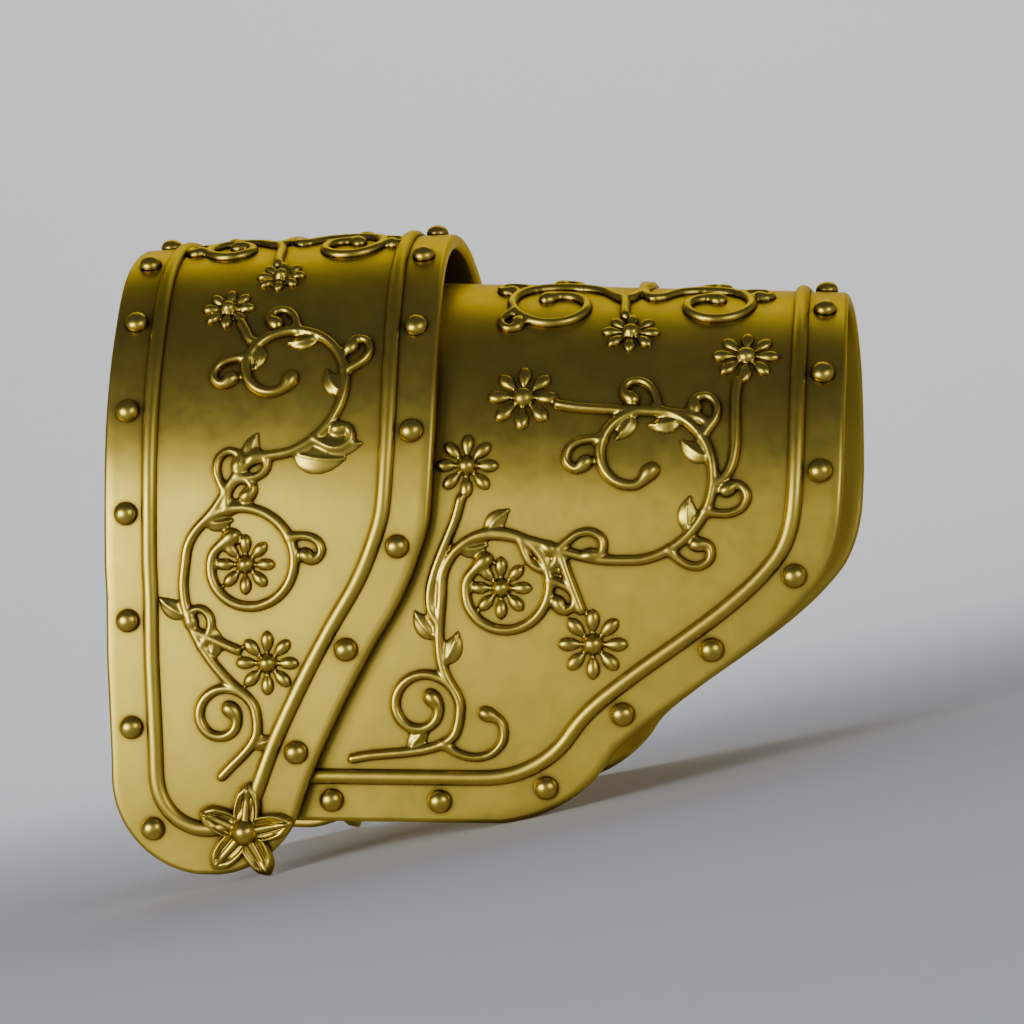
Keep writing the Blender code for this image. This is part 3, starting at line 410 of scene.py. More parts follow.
@dataclass
class Armour:
    """The sizes that the pieces share, and the way that the armour stands on the floor."""

    shoulder_length: float = 0.104
    arm_reach: float = 0.1285
    shoulder_half_depth: float = 0.082
    shoulder_crowns: tuple[float, float] = (0.088, 0.0927)
    arm_crowns: tuple[float, float] = (0.076, 0.0723)
    shoulder_skirt: float = 0.1144
    arm_skirt: float = 0.0972
    shoulder_wall: float = 0.005
    arm_wall: float = 0.004
    plate_clearance: float = 0.0006
    arm_overlap: float = 0.042
    skirt_radius: float = 1.200
    edge_chamfer: float = 0.0014
    tip_radius: float = 0.031
    tip_flat: float = 0.006
    foot_radius: float = 0.047
    foot_flat: float = 0.017
    rim_arc: float = 22.0
    elbow_arc: float = 37.5
    star_along: float = 0.43
    star_down: float = 0.942
    crown_tolerance: float = 1e-5
    shoulder: Arch = field(init=False)
    arm: Arch = field(init=False)
    matrix: Matrix = field(init=False)

    def __post_init__(self) -> None:
        """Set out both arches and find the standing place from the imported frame."""
        inner = self.shoulder_wall + self.plate_clearance
        self.shoulder = Arch(self.shoulder_half_depth, *self.shoulder_crowns, 0.0,
                             self.shoulder_length, self.skirt_radius, self.shoulder_skirt)
        self.arm = Arch(self.shoulder_half_depth - inner, *self.arm_crowns,
                        self.shoulder_length, self.shoulder_length + self.arm_reach,
                        self.skirt_radius - inner, self.arm_skirt)
        self.matrix = self.standing()

    def standing(self) -> Matrix:
        """Find how the armour leans and where it stands, from a mount and the crown's edge.

        Returns:
            The matrix from the armour frame to the row frame.
        """
        axis = frame["record"]["mounts"][0]["axis"]
        turn = Matrix.Rotation(math.atan2(axis[0], axis[2]), 4, "Y")
        crown = [turn.inverted() @ vert.co
                 for vert in frame["nodes"]["shoulder_plate"].data.vertices
                 if abs(vert.co.y) < self.crown_tolerance]
        neck_x = min(spot.x for spot in crown)
        top = max(spot.z for spot in crown)
        crown_line = np.array(0.0)
        rise = self.shoulder.crown_end - self.shoulder.crown_start
        highest_x = float(self.rim_edge(crown_line)) - self.edge_chamfer
        high = self.shoulder.crown_start + rise * highest_x / self.shoulder_length
        start_x = neck_x - float(self.neck_edge(crown_line))
        return turn @ Matrix.Translation((start_x, 0.0, top - high))

    @staticmethod
    def edge(stations: np.ndarray, values: np.ndarray, joins: float, arc: Callable,
             v: np.ndarray) -> np.ndarray:
        """Read an edge: a smooth curve through its rows down to a level, then an arc.

        Args:
            stations: Developed lengths of the rows.
            values: The edge's x at each row.
            joins: The developed length where the arc takes over.
            arc: Gives the arc's x at developed lengths.
            v: Where the edge is read.

        Returns:
            The edge's x at each place.
        """
        v = np.abs(np.asarray(v, float))
        curve = EdgeCurve((*stations, joins), (*values, float(arc(np.array(joins)))))
        return np.where(v >= joins, arc(np.maximum(v, joins)), curve.at(v))

    @staticmethod
    def arc_level(arch: Arch, radius: float, degrees: float) -> float:
        """Developed length at an angle round the arc of a plate's lower edge."""
        return arch.drop - radius * (1.0 - math.sin(math.radians(degrees)))

    @staticmethod
    def arc_half_width(arch: Arch, radius: float, v: np.ndarray) -> np.ndarray:
        """Half the width of that arc at a developed length."""
        share = np.clip((v - arch.drop + radius) / radius, 0.0, 1.0)
        return radius * np.sqrt(1.0 - share ** 2)

    def shoulder_edge(self, column: str, degrees: float, side: float,
                      v: np.ndarray) -> np.ndarray:
        """Read one edge of the shoulder plate, which closes onto its round tip.

        Args:
            column: The outline's column for this edge.
            degrees: Where on the tip's arc the edge joins it.
            side: -1 for the neck side of the tip, and 1 for its arm side.
            v: Where the edge is read.

        Returns:
            The edge's x at each place.
        """
        stations = np.array([row.down for row in SHOULDER_OUTLINE]) * self.shoulder.drop
        values = np.array([getattr(row, column) for row in SHOULDER_OUTLINE])
        middle = SHOULDER_OUTLINE[-1].neck_edge * self.shoulder_length + self.tip_radius
        return self.edge(
            stations, values * self.shoulder_length,
            self.arc_level(self.shoulder, self.tip_radius, degrees),
            lambda level: middle + side * np.maximum(
                0.5 * self.tip_flat,
                self.arc_half_width(self.shoulder, self.tip_radius, level)), v)

    def neck_edge(self, v: np.ndarray) -> np.ndarray:
        """Neck-side edge of the shoulder plate."""
        return self.shoulder_edge("neck_edge", 0.0, -1.0, v)

    def rim_edge(self, v: np.ndarray) -> np.ndarray:
        """Arm-side edge of the shoulder plate, the rim that stands over the arm plate."""
        return self.shoulder_edge("arm_edge", self.rim_arc, 1.0, v)

    def rim_over_arm(self, v: np.ndarray) -> np.ndarray:
        """The shoulder plate's rim as it lies over a level of the arm plate."""
        return self.rim_edge(self.shoulder.length_at(self.arm.turn(np.abs(v))))

    def hidden_edge(self, v: np.ndarray) -> np.ndarray:
        """Edge of the arm plate under the shoulder plate."""
        return self.rim_over_arm(v) - self.arm_overlap

    def elbow_edge(self, v: np.ndarray) -> np.ndarray:
        """Elbow-side edge of the arm plate."""
        stations = np.array([row.down for row in ARM_OUTLINE]) * self.arm.drop
        values = np.array([row.elbow_edge for row in ARM_OUTLINE])
        middle = self.shoulder_length + self.foot_flat
        return self.edge(
            stations, self.shoulder_length + values * self.arm_reach,
            self.arc_level(self.arm, self.foot_radius, self.elbow_arc),
            lambda level: middle + self.arc_half_width(self.arm, self.foot_radius, level), v)


@dataclass(frozen=True)
class GiltFinish:
    """Satin gilt metal, darkened in its recesses by painted shade, cloudy, and rubbed bright on
    its edges.
    """

    slot: Slot
    light: tuple[float, float, float]
    # The dark colour painted into recesses and creases as shade.
    painted_shade: tuple[float, float, float]
    roughness: float
    grain: float
    wear: float
    edge_tint: tuple[float, float, float, float] = (0.80, 0.62, 0.28, 1.0)
    cloud_scale: float = 26.0
    grain_scale: float = 1400.0
    smudge_scale: float = 120.0
    cloud_shade: float = 0.90
    hollow_reach: float = 0.0065
    crease_reach: float = 0.0016
    hollow_rays: int = 8
    edge_range: tuple[float, float] = (0.52, 0.60)
    smoother: float = 0.045
    rougher: float = 0.05
    grain_depth: float = 0.0001
    swell_strength: float = 0.25
    swell_depth: float = 0.0006

    def material(self) -> bpy.types.Material:
        """Make the finish as a procedural material.

        Returns:
            The new material.
        """
        made = bpy.data.materials.new(f"finish_{self.slot.value}")
        made.use_nodes = True
        tree = made.node_tree
        shader = tree.nodes["Principled BSDF"]
        shader.inputs["Metallic"].default_value = 1.0
        shader.inputs["IOR"].default_value = 1.5
        shader.inputs["Specular Tint"].default_value = self.edge_tint
        place = tree.nodes.new("ShaderNodeTexCoord").outputs["Object"]

        clouds = self.noise(tree, place, self.cloud_scale, 4.0, 0.55)
        grain = self.noise(tree, place, self.grain_scale, 3.0, 0.6)
        smudge = self.noise(tree, place, self.smudge_scale, 5.0, 0.65)

        # Two ambient occlusion reaches, wide and tight, make the mask for painted shade in
        # recesses and creases.
        wide = self.openness(tree, self.hollow_reach, 0.35, 0.95)
        tight = self.openness(tree, self.crease_reach, 0.40, 0.85)
        both = tree.nodes.new("ShaderNodeMath")
        both.operation = "MULTIPLY"
        tree.links.new(wide, both.inputs[0])
        tree.links.new(tight, both.inputs[1])
        open_share = both.outputs["Value"]

        cloudy = self.mix(tree, self.remap(tree, clouds, 0.35, 0.65, 0.0, 1.0),
                          tuple(self.cloud_shade * c for c in self.light), self.light)
        # Painted shade: where the occlusion mask is low, the colour goes to the dark painted shade
        # colour.
        shaded_colour = self.mix(tree, open_share, self.painted_shade, cloudy)
        bright = tuple(min(1.0, 1.12 * c + 0.02) for c in self.light)
        point = tree.nodes.new("ShaderNodeNewGeometry").outputs["Pointiness"]
        edge = self.remap(tree, point, *self.edge_range, 0.0, self.wear)
        worn = self.mix(tree, edge, shaded_colour, bright)
        tree.links.new(worn, shader.inputs["Base Color"])

        rough = self.remap(tree, smudge, 0.30, 0.70, self.roughness - self.smoother,
                           self.roughness + self.rougher)
        tree.links.new(rough, shader.inputs["Roughness"])

        bump = tree.nodes.new("ShaderNodeBump")
        bump.inputs["Strength"].default_value = self.grain
        bump.inputs["Distance"].default_value = self.grain_depth
        tree.links.new(grain, bump.inputs["Height"])
        swell = tree.nodes.new("ShaderNodeBump")
        swell.inputs["Strength"].default_value = self.swell_strength
        swell.inputs["Distance"].default_value = self.swell_depth
        tree.links.new(clouds, swell.inputs["Height"])
        tree.links.new(swell.outputs["Normal"], bump.inputs["Normal"])
        tree.links.new(bump.outputs["Normal"], shader.inputs["Normal"])
        return made

    def openness(self, tree: bpy.types.NodeTree, reach: float, shut: float,
                 clear: float) -> bpy.types.NodeSocket:
        """Measure how open a place is to its surroundings, as the mask for painted shade.

        Args:
            tree: The material's node tree.
            reach: How far away another surface still shades the place.
            shut: The openness that counts as a full recess.
            clear: The openness that counts as no recess.

        Returns:
            A socket that is 0 in a recess and 1 in the open.
        """
        node = tree.nodes.new("ShaderNodeAmbientOcclusion")
        node.samples = self.hollow_rays
        node.inputs["Distance"].default_value = reach
        return self.remap(tree, node.outputs["AO"], shut, clear, 0.0, 1.0)

    @staticmethod
    def noise(tree: bpy.types.NodeTree, place: bpy.types.NodeSocket, scale: float,
              detail: float, roughness: float) -> bpy.types.NodeSocket:
        """Add a noise texture and return its value socket."""
        node = tree.nodes.new("ShaderNodeTexNoise")
        node.inputs["Scale"].default_value = scale
        node.inputs["Detail"].default_value = detail
        node.inputs["Roughness"].default_value = roughness
        tree.links.new(place, node.inputs["Vector"])
        return node.outputs["Fac"]

    @staticmethod
    def remap(tree: bpy.types.NodeTree, value: bpy.types.NodeSocket, low: float, high: float,
              to_low: float, to_high: float) -> bpy.types.NodeSocket:
        """Stretch a value from one range to another, without going past either end."""
        node = tree.nodes.new("ShaderNodeMapRange")
        node.clamp = True
        for name, number in (("From Min", low), ("From Max", high), ("To Min", to_low),
                             ("To Max", to_high)):
            node.inputs[name].default_value = number
        tree.links.new(value, node.inputs["Value"])
        return node.outputs["Result"]

    @staticmethod
    def mix(tree: bpy.types.NodeTree, share: bpy.types.NodeSocket, low: object,
            high: object) -> bpy.types.NodeSocket:
        """Blend two colours, each a plain colour or a socket, by a share."""
        node = tree.nodes.new("ShaderNodeMix")
        node.data_type = "RGBA"
        tree.links.new(share, node.inputs[0])
        for socket, colour in ((node.inputs[6], low), (node.inputs[7], high)):
            if isinstance(colour, tuple):
                socket.default_value = (*colour, 1.0)
            else:
                tree.links.new(colour, socket)
        return node.outputs[2]


# Each finish gives its slot, its light colour, the dark colour painted into recesses as shade,
# then roughness, grain and wear.
FINISHES = (
    GiltFinish(Slot.SATIN, (0.55, 0.415, 0.058), (0.095, 0.058, 0.012), 0.37, 0.10, 0.84),
    GiltFinish(Slot.RELIEF, (0.59, 0.445, 0.068), (0.088, 0.053, 0.011), 0.31, 0.08, 0.84),
    GiltFinish(Slot.POLISHED, (0.59, 0.445, 0.068), (0.088, 0.053, 0.011), 0.30, 0.05, 0.84),
)


@dataclass
class Workshop:
    """Makes finished pieces in the row frame and hands each one to the frame."""

    armour: Armour
    materials: dict = field(default_factory=dict)

    def __post_init__(self) -> None:
        """Mix every finish once."""
        self.materials = {finish.slot: finish.material() for finish in FINISHES}

    def add(self, name: str, mesh: bpy.types.Mesh, slot: Slot, node: str) -> bpy.types.Object:
        """Dress a mesh as the piece that stands for a CAD node.

        Args:
            name: Name of the new piece.
            mesh: The piece's mesh, already in the row frame.
            slot: The record's slot for its finish.
            node: The CAD node that it replaces.

        Returns:
            The new object.
        """
        mesh.materials.clear()
        mesh.materials.append(self.materials[slot])
        piece = bpy.data.objects.new(name, mesh)
        bpy.context.scene.collection.objects.link(piece)
        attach(piece, BODY)
        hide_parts(node)
        LOG.info("%s: %d faces, stands for %s", name, len(mesh.polygons), node)
        return piece

    def mesh(self, name: str, verts: np.ndarray, faces: list) -> bpy.types.Mesh:
        """Make a smooth-shaded mesh from points in the armour frame.

        Args:
            name: Name of the mesh.
            verts: Rows of X, Y, Z in the armour frame.
            faces: Rows of vertex numbers.

        Returns:
            The mesh in the row frame, with its faces out.
        """
        made = bpy.data.meshes.new(name)
        made.from_pydata([tuple(p) for p in verts], [], [tuple(f) for f in faces])
        made.transform(self.armour.matrix)
        body = bmesh.new()
        body.from_mesh(made)
        bmesh.ops.recalc_face_normals(body, faces=body.faces)
        body.to_mesh(made)
        body.free()
        made.shade_smooth()
        return made


@dataclass
class Plate:
    """One curved plate with rounded edges, modelled as a fine shell of even wall."""

    shop: Workshop
    node: str
    arch: Arch
    start: Callable[[np.ndarray], np.ndarray]
    end: Callable[[np.ndarray], np.ndarray]
    wall: float
    fillet: float = 0.0015
    row_step: float = 0.0018
    column_step: float = 0.0024
    fillet_steps: int = 4
    foot_trim: float = 0.0002

    def inset(self, edge: Callable[[np.ndarray], np.ndarray], inward: float) -> tuple:
        """Offset an edge into the plate by its fillet.

        Args:
            edge: The edge as x over developed length.
            inward: 1 where the plate lies at higher x, and -1 where it lies at lower x.

        Returns:
            Developed lengths and the offset edge's x, for the front half.
        """
        v = np.linspace(0.0, self.arch.drop - self.foot_trim, 3000)
        x = edge(v)
        run_x, run_v = np.gradient(x), np.gradient(v)
        size = np.hypot(run_x, run_v)
        shift = self.fillet * inward
        return v - shift * run_x / size, x + shift * run_v / size

    def grid(self) -> np.ndarray:
        """Set out the plate's face inside its fillets.

        Returns:
            An array of rows by columns by x and developed length.
        """
        low_v, low_x = self.inset(self.start, 1.0)
        high_v, high_x = self.inset(self.end, -1.0)
        foot = min(low_v.max(), high_v.max())
        fine = np.linspace(0.0, foot, 4000)
        low = np.interp(fine, low_v, low_x)
        high = np.interp(fine, high_v, high_x)
        pace = np.maximum(1.0, np.maximum(np.abs(np.gradient(low, fine)),
                                          np.abs(np.gradient(high, fine))))
        run = np.concatenate(([0.0], np.cumsum(0.5 * (pace[1:] + pace[:-1]) * np.diff(fine))))
        count = math.ceil(run[-1] / self.row_step)
        levels = np.interp(np.linspace(0.0, run[-1], count + 1), run, fine)
        levels = np.concatenate((-levels[:0:-1], levels))
        low = np.interp(np.abs(levels), low_v, low_x)
        high = np.interp(np.abs(levels), high_v, high_x)
        columns = math.ceil((high - low).max() / self.column_step)
        share = np.linspace(0.0, 1.0, columns + 1)
        x = low[:, None] + (high - low)[:, None] * share
        return np.stack((x, np.repeat(levels[:, None], columns + 1, axis=1)), axis=2)

    def mesh(self) -> bpy.types.Mesh:
        """Build the shell: outer face, rounded edge and inner face.

        Returns:
            The plate's mesh.
        """
        grid = self.grid()
        rows, columns = grid.shape[:2]
        number = np.arange(rows * columns).reshape(rows, columns)
        loop = np.concatenate((number[:, 0], number[-1, 1:], number[-2::-1, -1],
                               number[0, -2:0:-1]))
        flat = grid.reshape(-1, 2)
        edge = flat[loop]
        before = edge - np.roll(edge, 1, axis=0)
        after = np.roll(edge, -1, axis=0) - edge
        before /= np.linalg.norm(before, axis=1)[:, None]
        after /= np.linalg.norm(after, axis=1)[:, None]
        tangent = before + after
        bend = np.clip(np.linalg.norm(tangent, axis=1) / 2.0, 0.7, 1.0)
        tangent /= np.linalg.norm(tangent, axis=1)[:, None]
        area = np.sum(edge[:, 0] * np.roll(edge[:, 1], -1) - np.roll(edge[:, 0], -1) * edge[:, 1])
        outward = np.stack((tangent[:, 1], -tangent[:, 0]), axis=1) * np.sign(area) / bend[:, None]

        turns = [math.pi / 2.0 * (i + 1) / self.fillet_steps for i in range(self.fillet_steps)]
        rings = [(math.sin(a), -self.fillet * (1.0 - math.cos(a))) for a in turns]
        rings += [(side, -self.wall - lift) for side, lift in reversed(rings)]
        layers = [np.column_stack((flat, np.zeros(len(flat))))]
        for side, lift in rings:
            spots = edge + outward * self.fillet * side
            layers.append(np.column_stack((spots, np.full(len(spots), lift))))
        layers.append(np.column_stack((flat, np.full(len(flat), -self.wall))))

        quads = np.stack((number[:-1, :-1], number[1:, :-1], number[1:, 1:], number[:-1, 1:]),
                         axis=2).reshape(-1, 4)
        inner_start = len(flat) + len(rings) * len(loop)
        faces = [quads, quads[:, ::-1] + inner_start]
        bands = [loop] + [len(flat) + k * len(loop) + np.arange(len(loop))
                          for k in range(len(rings))] + [loop + inner_start]
        for near, far in zip(bands, bands[1:]):
            faces.append(np.stack((near, np.roll(near, -1), np.roll(far, -1), far), axis=1))
        points = self.arch.points(np.concatenate(layers))
        return self.shop.mesh(self.node, points, np.concatenate(faces).tolist())

    def build(self) -> None:
        """Build the plate and dress it in satin gilt."""
        self.shop.add(f"{self.node}_shell", self.mesh(), Slot.SATIN, self.node)


DOME_TURNS = (25.0, 50.0, 70.0, 84.0)
LONG_RUN_SHARE = 0.9
EDGE_POINTS = 300
FOOT_POINTS = 60
KEPT_CLEAR = 0.985


def run_along(path: np.ndarray) -> np.ndarray:
    """Distance along a path at each of its points."""
    return np.concatenate(([0.0], np.cumsum(np.hypot(*np.diff(path, axis=0).T))))


def resampled(path: np.ndarray, step: float) -> np.ndarray:
    """Space a path's points evenly.

    Args:
        path: Rows of x and developed length.
        step: The largest distance between two points.

    Returns:
        The path with even steps.
    """
    run = run_along(path)
    stations = np.linspace(0.0, run[-1], max(2, math.ceil(run[-1] / step)) + 1)
    return np.stack((np.interp(stations, run, path[:, 0]),
                     np.interp(stations, run, path[:, 1])), axis=1)


def rounded(path: list, step: float) -> np.ndarray:
    """Draw a smooth curve through a strand's points.

    Args:
        path: Points as pairs of x and developed length.
        step: The distance between the points of the curve.

    Returns:
        Rows of x and developed length.
    """
    spots = np.array(path)
    ends = np.concatenate(([2.0 * spots[0] - spots[1]], spots, [2.0 * spots[-1] - spots[-2]]))
    pieces = []
    for a, b, c, d in zip(ends, ends[1:], ends[2:], ends[3:]):
        t = np.linspace(0.0, 1.0, 9)[:-1, None]
        pieces.append(0.5 * (2.0 * b + (c - a) * t + (2.0 * a - 5.0 * b + 4.0 * c - d) * t * t
                             + (3.0 * b - a - 3.0 * c + d) * t ** 3))
    return resampled(np.concatenate(pieces + [spots[-1:]]), step)


def softened(path: np.ndarray, rounds: int) -> np.ndarray:
    """Even out small kinks in an evenly spaced path, with its ends kept.

    Args:
        path: Rows of x and developed length.
        rounds: How many times each point moves to the mean of itself and its neighbours.

    Returns:
        The softened path.
    """
    soft = path.copy()
    for _ in range(rounds):
        soft[1:-1] = 0.25 * soft[:-2] + 0.5 * soft[1:-1] + 0.25 * soft[2:]
    return soft


def inset_path(start: Callable, end: Callable, drop: float, inset: float,
               closed_foot: bool) -> np.ndarray:
    """Path at an even distance inside a plate's visible edge.

    Args:
        start: Edge at the lower x.
        end: Edge at the higher x, which the path follows first.
        drop: Developed length from the crown to the foot.
        inset: Distance from the edge.
        closed_foot: Whether the path goes on up the start edge.

    Returns:
        Rows of x and developed length, from the crown down and round the foot.
    """
    bend = LONG_RUN_SHARE * drop
    fine = np.concatenate((np.linspace(0.0, bend, EDGE_POINTS)[:-1],
                           np.linspace(bend, drop, EDGE_POINTS)))
    edge = np.stack((end(fine), fine), axis=1)
    if closed_foot:
        edge = np.concatenate((edge, np.stack((start(fine), fine), axis=1)[::-1]))
    else:
        foot = np.linspace(end(drop), start(drop), FOOT_POINTS)[1:]
        edge = np.concatenate((edge, np.stack((foot, np.full(len(foot), drop)), axis=1)))
    path = []
    for i in range(len(edge)):
        tangent = edge[min(i + 1, len(edge) - 1)] - edge[max(i - 1, 0)]
        normal = np.array((-tangent[1], tangent[0])) / np.hypot(*tangent)
        spot = edge[i] + inset * normal
        if np.hypot(*(edge - spot).T).min() > inset * KEPT_CLEAR:
            path.append(spot)
    return np.array(path)


def shoulder_border(armour: Armour, inset: float) -> np.ndarray:
    """Path inside the shoulder plate's edge: down the rim, round the tip and up the neck."""
    return inset_path(armour.neck_edge, armour.rim_edge, armour.shoulder.drop, inset, True)


def arm_border(armour: Armour, inset: float, off_rim: float) -> np.ndarray:
    """Path inside the arm plate's edge, down to a distance off the shoulder plate's rim."""
    path = inset_path(armour.rim_over_arm, armour.elbow_edge, armour.arm.drop, inset, False)
    clear = (path[:, 0] > armour.rim_over_arm(path[:, 1]) + off_rim) | (
        path[:, 1] < armour.arm.quarter)
    return path[clear]


def both_sides(path: np.ndarray) -> np.ndarray:
    """A path and its mirror over the crown, as one run from back to front."""
    mirror = path[::-1] * np.array((1.0, -1.0))
    return np.concatenate((mirror, path))


def swept(path: np.ndarray, half_widths: np.ndarray, heights: np.ndarray, sunk: float,
          steps: int, round_ends: bool) -> tuple[np.ndarray, list]:
    """Sweep a half-round section along a path on the developed surface.

    Args:
        path: Rows of x and developed length.
        half_widths: Half the section's width at each point.
        heights: The section's height at each point.
        sunk: How far the section's base lies under the surface.
        steps: Facets of the round.
        round_ends: Whether the ends close as domes.

    Returns:
        Rows of x, developed length and lift, and the faces.
    """
    tangent = np.gradient(path, axis=0)
    tangent /= np.linalg.norm(tangent, axis=1)[:, None]
    if round_ends:
        for at_end in (False, True):
            spot = path[-1] if at_end else path[0]
            way = tangent[-1] if at_end else -tangent[0]
            width = half_widths[-1] if at_end else half_widths[0]
            height = heights[-1] if at_end else heights[0]
            turns = np.radians(DOME_TURNS)
            extra = spot + way * width * np.sin(turns)[:, None]
            shrink = np.cos(turns)
            joined = [(path, extra), (half_widths, width * shrink), (heights, height * shrink),
                      (tangent, np.repeat([tangent[-1 if at_end else 0]], len(turns), axis=0))]
            if at_end:
                joined = [np.concatenate(pair) for pair in joined]
            else:
                joined = [np.concatenate((more[::-1], kept)) for kept, more in joined]
            path, half_widths, heights, tangent = joined
    across = np.stack((-tangent[:, 1], tangent[:, 0]), axis=1)
    angles = np.linspace(0.0, math.pi, steps + 1)
    section = [(-1.0, None)] + [(-math.cos(a), math.sin(a)) for a in angles] + [(1.0, None)]
    spots = []
    for side, rise in section:
        place = path + across * (half_widths * side)[:, None]
        lift = np.full(len(path), -sunk) if rise is None else heights * rise
        spots.append(np.column_stack((place, lift)))
    ring = len(section)
    verts = np.stack(spots, axis=1).reshape(-1, 3)
    faces = []
    for i in range(len(path) - 1):
        for j in range(ring):
            k = (j + 1) % ring
            faces.append((i * ring + j, i * ring + k, (i + 1) * ring + k, (i + 1) * ring + j))
    faces.append(tuple(range(ring)))
    faces.append(tuple((len(path) - 1) * ring + j for j in range(ring)))
    return verts, faces


@dataclass
class Beads:
    """The half-round beads that follow the borders of both plates."""

    shop: Workshop
    inset: float = 0.0147
    width: float = 0.0050
    height: float = 0.0021
    sunk: float = 0.0004
    step: float = 0.0013
    soft_rounds: int = 14
    facets: int = 14
    under_rim: float = 0.004

    def bead(self, node: str, arch: Arch, path: np.ndarray) -> None:
        """Make one bead along a path on a plate."""
        path = softened(resampled(path, self.step), self.soft_rounds)
        size = np.ones(len(path))
        verts, faces = swept(path, 0.5 * self.width * size, self.height * size, self.sunk,
                             self.facets, False)
        mesh = self.shop.mesh(node, arch.points(verts), faces)
        self.shop.add(f"{node}_round", mesh, Slot.SATIN, node)

    def build(self) -> None:
        """Make the beads of both plates. The shoulder's two beads meet under the star."""
        armour = self.shop.armour
        line = shoulder_border(armour, self.inset)
        star = np.array(StarBoss.spot(armour))
        meeting = int(np.hypot(*(line - star).T).argmin())
        self.bead("shoulder_bead_rim", armour.shoulder, both_sides(line[:meeting + 1]))
        self.bead("shoulder_bead_neck", armour.shoulder, both_sides(line[:meeting - 1:-1]))
        foot = arm_border(armour, self.inset, -self.under_rim)
        self.bead("arm_bead", armour.arm, both_sides(foot))


@dataclass
class Rivets:
    """The domed rivets of the borders, a few of which join the two plates."""

    shop: Workshop
    inset: float = 0.0072
    diameter: float = 0.0075
    height: float = 0.0032
    shank: float = 0.0036
    tail: float = 0.0064
    tail_height: float = 0.0012
    seat_gap: float = 0.0003
    star_room: float = 0.0163
    star_space: float = 0.0135
    neck_count: int = 7
    rim_count: int = 6
    arm_count: int = 9
    through: int = 2
    sides: int = 28

    def turned(self, name: str, profile: list[tuple[float, float]]) -> bpy.types.Mesh:
        """Turn a profile of radius and height about Z, from its top to its foot."""
        mesh = bpy.data.meshes.new(name)
        verts, faces = [], []
        for radius, height in profile[1:-1]:
            for i in range(self.sides):
                angle = 2.0 * math.pi * i / self.sides
                verts.append((radius * math.cos(angle), radius * math.sin(angle), height))
        top, foot = len(verts), len(verts) + 1
        verts += [(0.0, 0.0, profile[0][1]), (0.0, 0.0, profile[-1][1])]
        rings = len(profile) - 2
        for i in range(self.sides):
            j = (i + 1) % self.sides
            faces.append((top, i, j))
            last = (rings - 1) * self.sides
            faces.append((foot, last + j, last + i))
            for k in range(rings - 1):
                low, high = k * self.sides, (k + 1) * self.sides
                faces.append((low + i, high + i, high + j, low + j))
        mesh.from_pydata(verts, [], faces)
        mesh.shade_smooth()
        return mesh

    def profile(self, passes: bool) -> list[tuple[float, float]]:
        """Profile of a rivet: a full dome, and for the joining ones a shank and a tail."""
        radius = 0.5 * self.diameter
        turns = [math.radians(a) for a in range(0, 91, 9)]
        dome = [(radius * math.sin(a), self.height * math.cos(a) ** 0.92) for a in turns]
        dome += [(radius * 0.985, -0.35 * self.seat_gap), (radius * 0.90, -self.seat_gap)]
        if not passes:
            return dome + [(0.0, -self.seat_gap)]
        armour = self.shop.armour
        depth = (2.0 * self.seat_gap + armour.shoulder_wall + armour.arm_wall
                 + armour.plate_clearance)
        shank, tail = 0.5 * self.shank, 0.5 * self.tail
        ends = [(tail * math.cos(a), -depth - self.tail_height * math.sin(a)) for a in turns]
        return dome + [(shank, -self.seat_gap), (shank, -depth), (0.94 * tail, -depth)] + ends

    def row(self, name: str, arch: Arch, path: np.ndarray, count: int, through: int) -> None:
        """Set evenly spaced rivets along both sides of a border, and one on the crown."""
        plain = self.turned(f"{name}_dome", self.profile(False))
        long = self.turned(f"{name}_long", self.profile(True)) if through else plain
        run = run_along(path)
        self.rivet(f"{name}_rivet_crown", plain, arch.placing(path[0, 0], 0.0, self.seat_gap))
        for index in range(1, count + 1):
            at = run[-1] * index / count
            x, v = (float(np.interp(at, run, path[:, k])) for k in (0, 1))
            mesh = long if index > count - through else plain
            for side in Side:
                place = arch.placing(x, side.value * v, self.seat_gap)
                self.rivet(f"{name}_rivet_{side.word}_{index}", mesh, place)

    def rivet(self, node: str, mesh: bpy.types.Mesh, place: Matrix) -> None:
        """Set one rivet in its place on the armour."""
        piece = self.shop.add(f"{node}_head", mesh, Slot.POLISHED, node)
        piece.matrix_world = self.shop.armour.matrix @ place

    def build(self) -> None:
        """Rivet the borders of both plates."""
        armour = self.shop.armour
        border = shoulder_border(armour, self.inset)
        star = StarBoss.spot(armour)
        room = self.star_room + self.star_space
        self.row("rim", armour.shoulder, self.trimmed(border, star, room), self.rim_count,
                 self.through)
        self.row("neck", armour.shoulder, self.trimmed(border[::-1], star, room),
                 self.neck_count, 0)
        foot = arm_border(armour, self.inset, self.diameter)
        self.row("arm", armour.arm, foot, self.arm_count, 0)

    @staticmethod
    def trimmed(path: np.ndarray, clear_of: tuple[float, float], distance: float) -> np.ndarray:
        """The part of a path before it comes within a distance of a place."""
        near = np.hypot(*(path - np.array(clear_of)).T) < distance
        return path[:int(near.argmax())] if near.any() else path


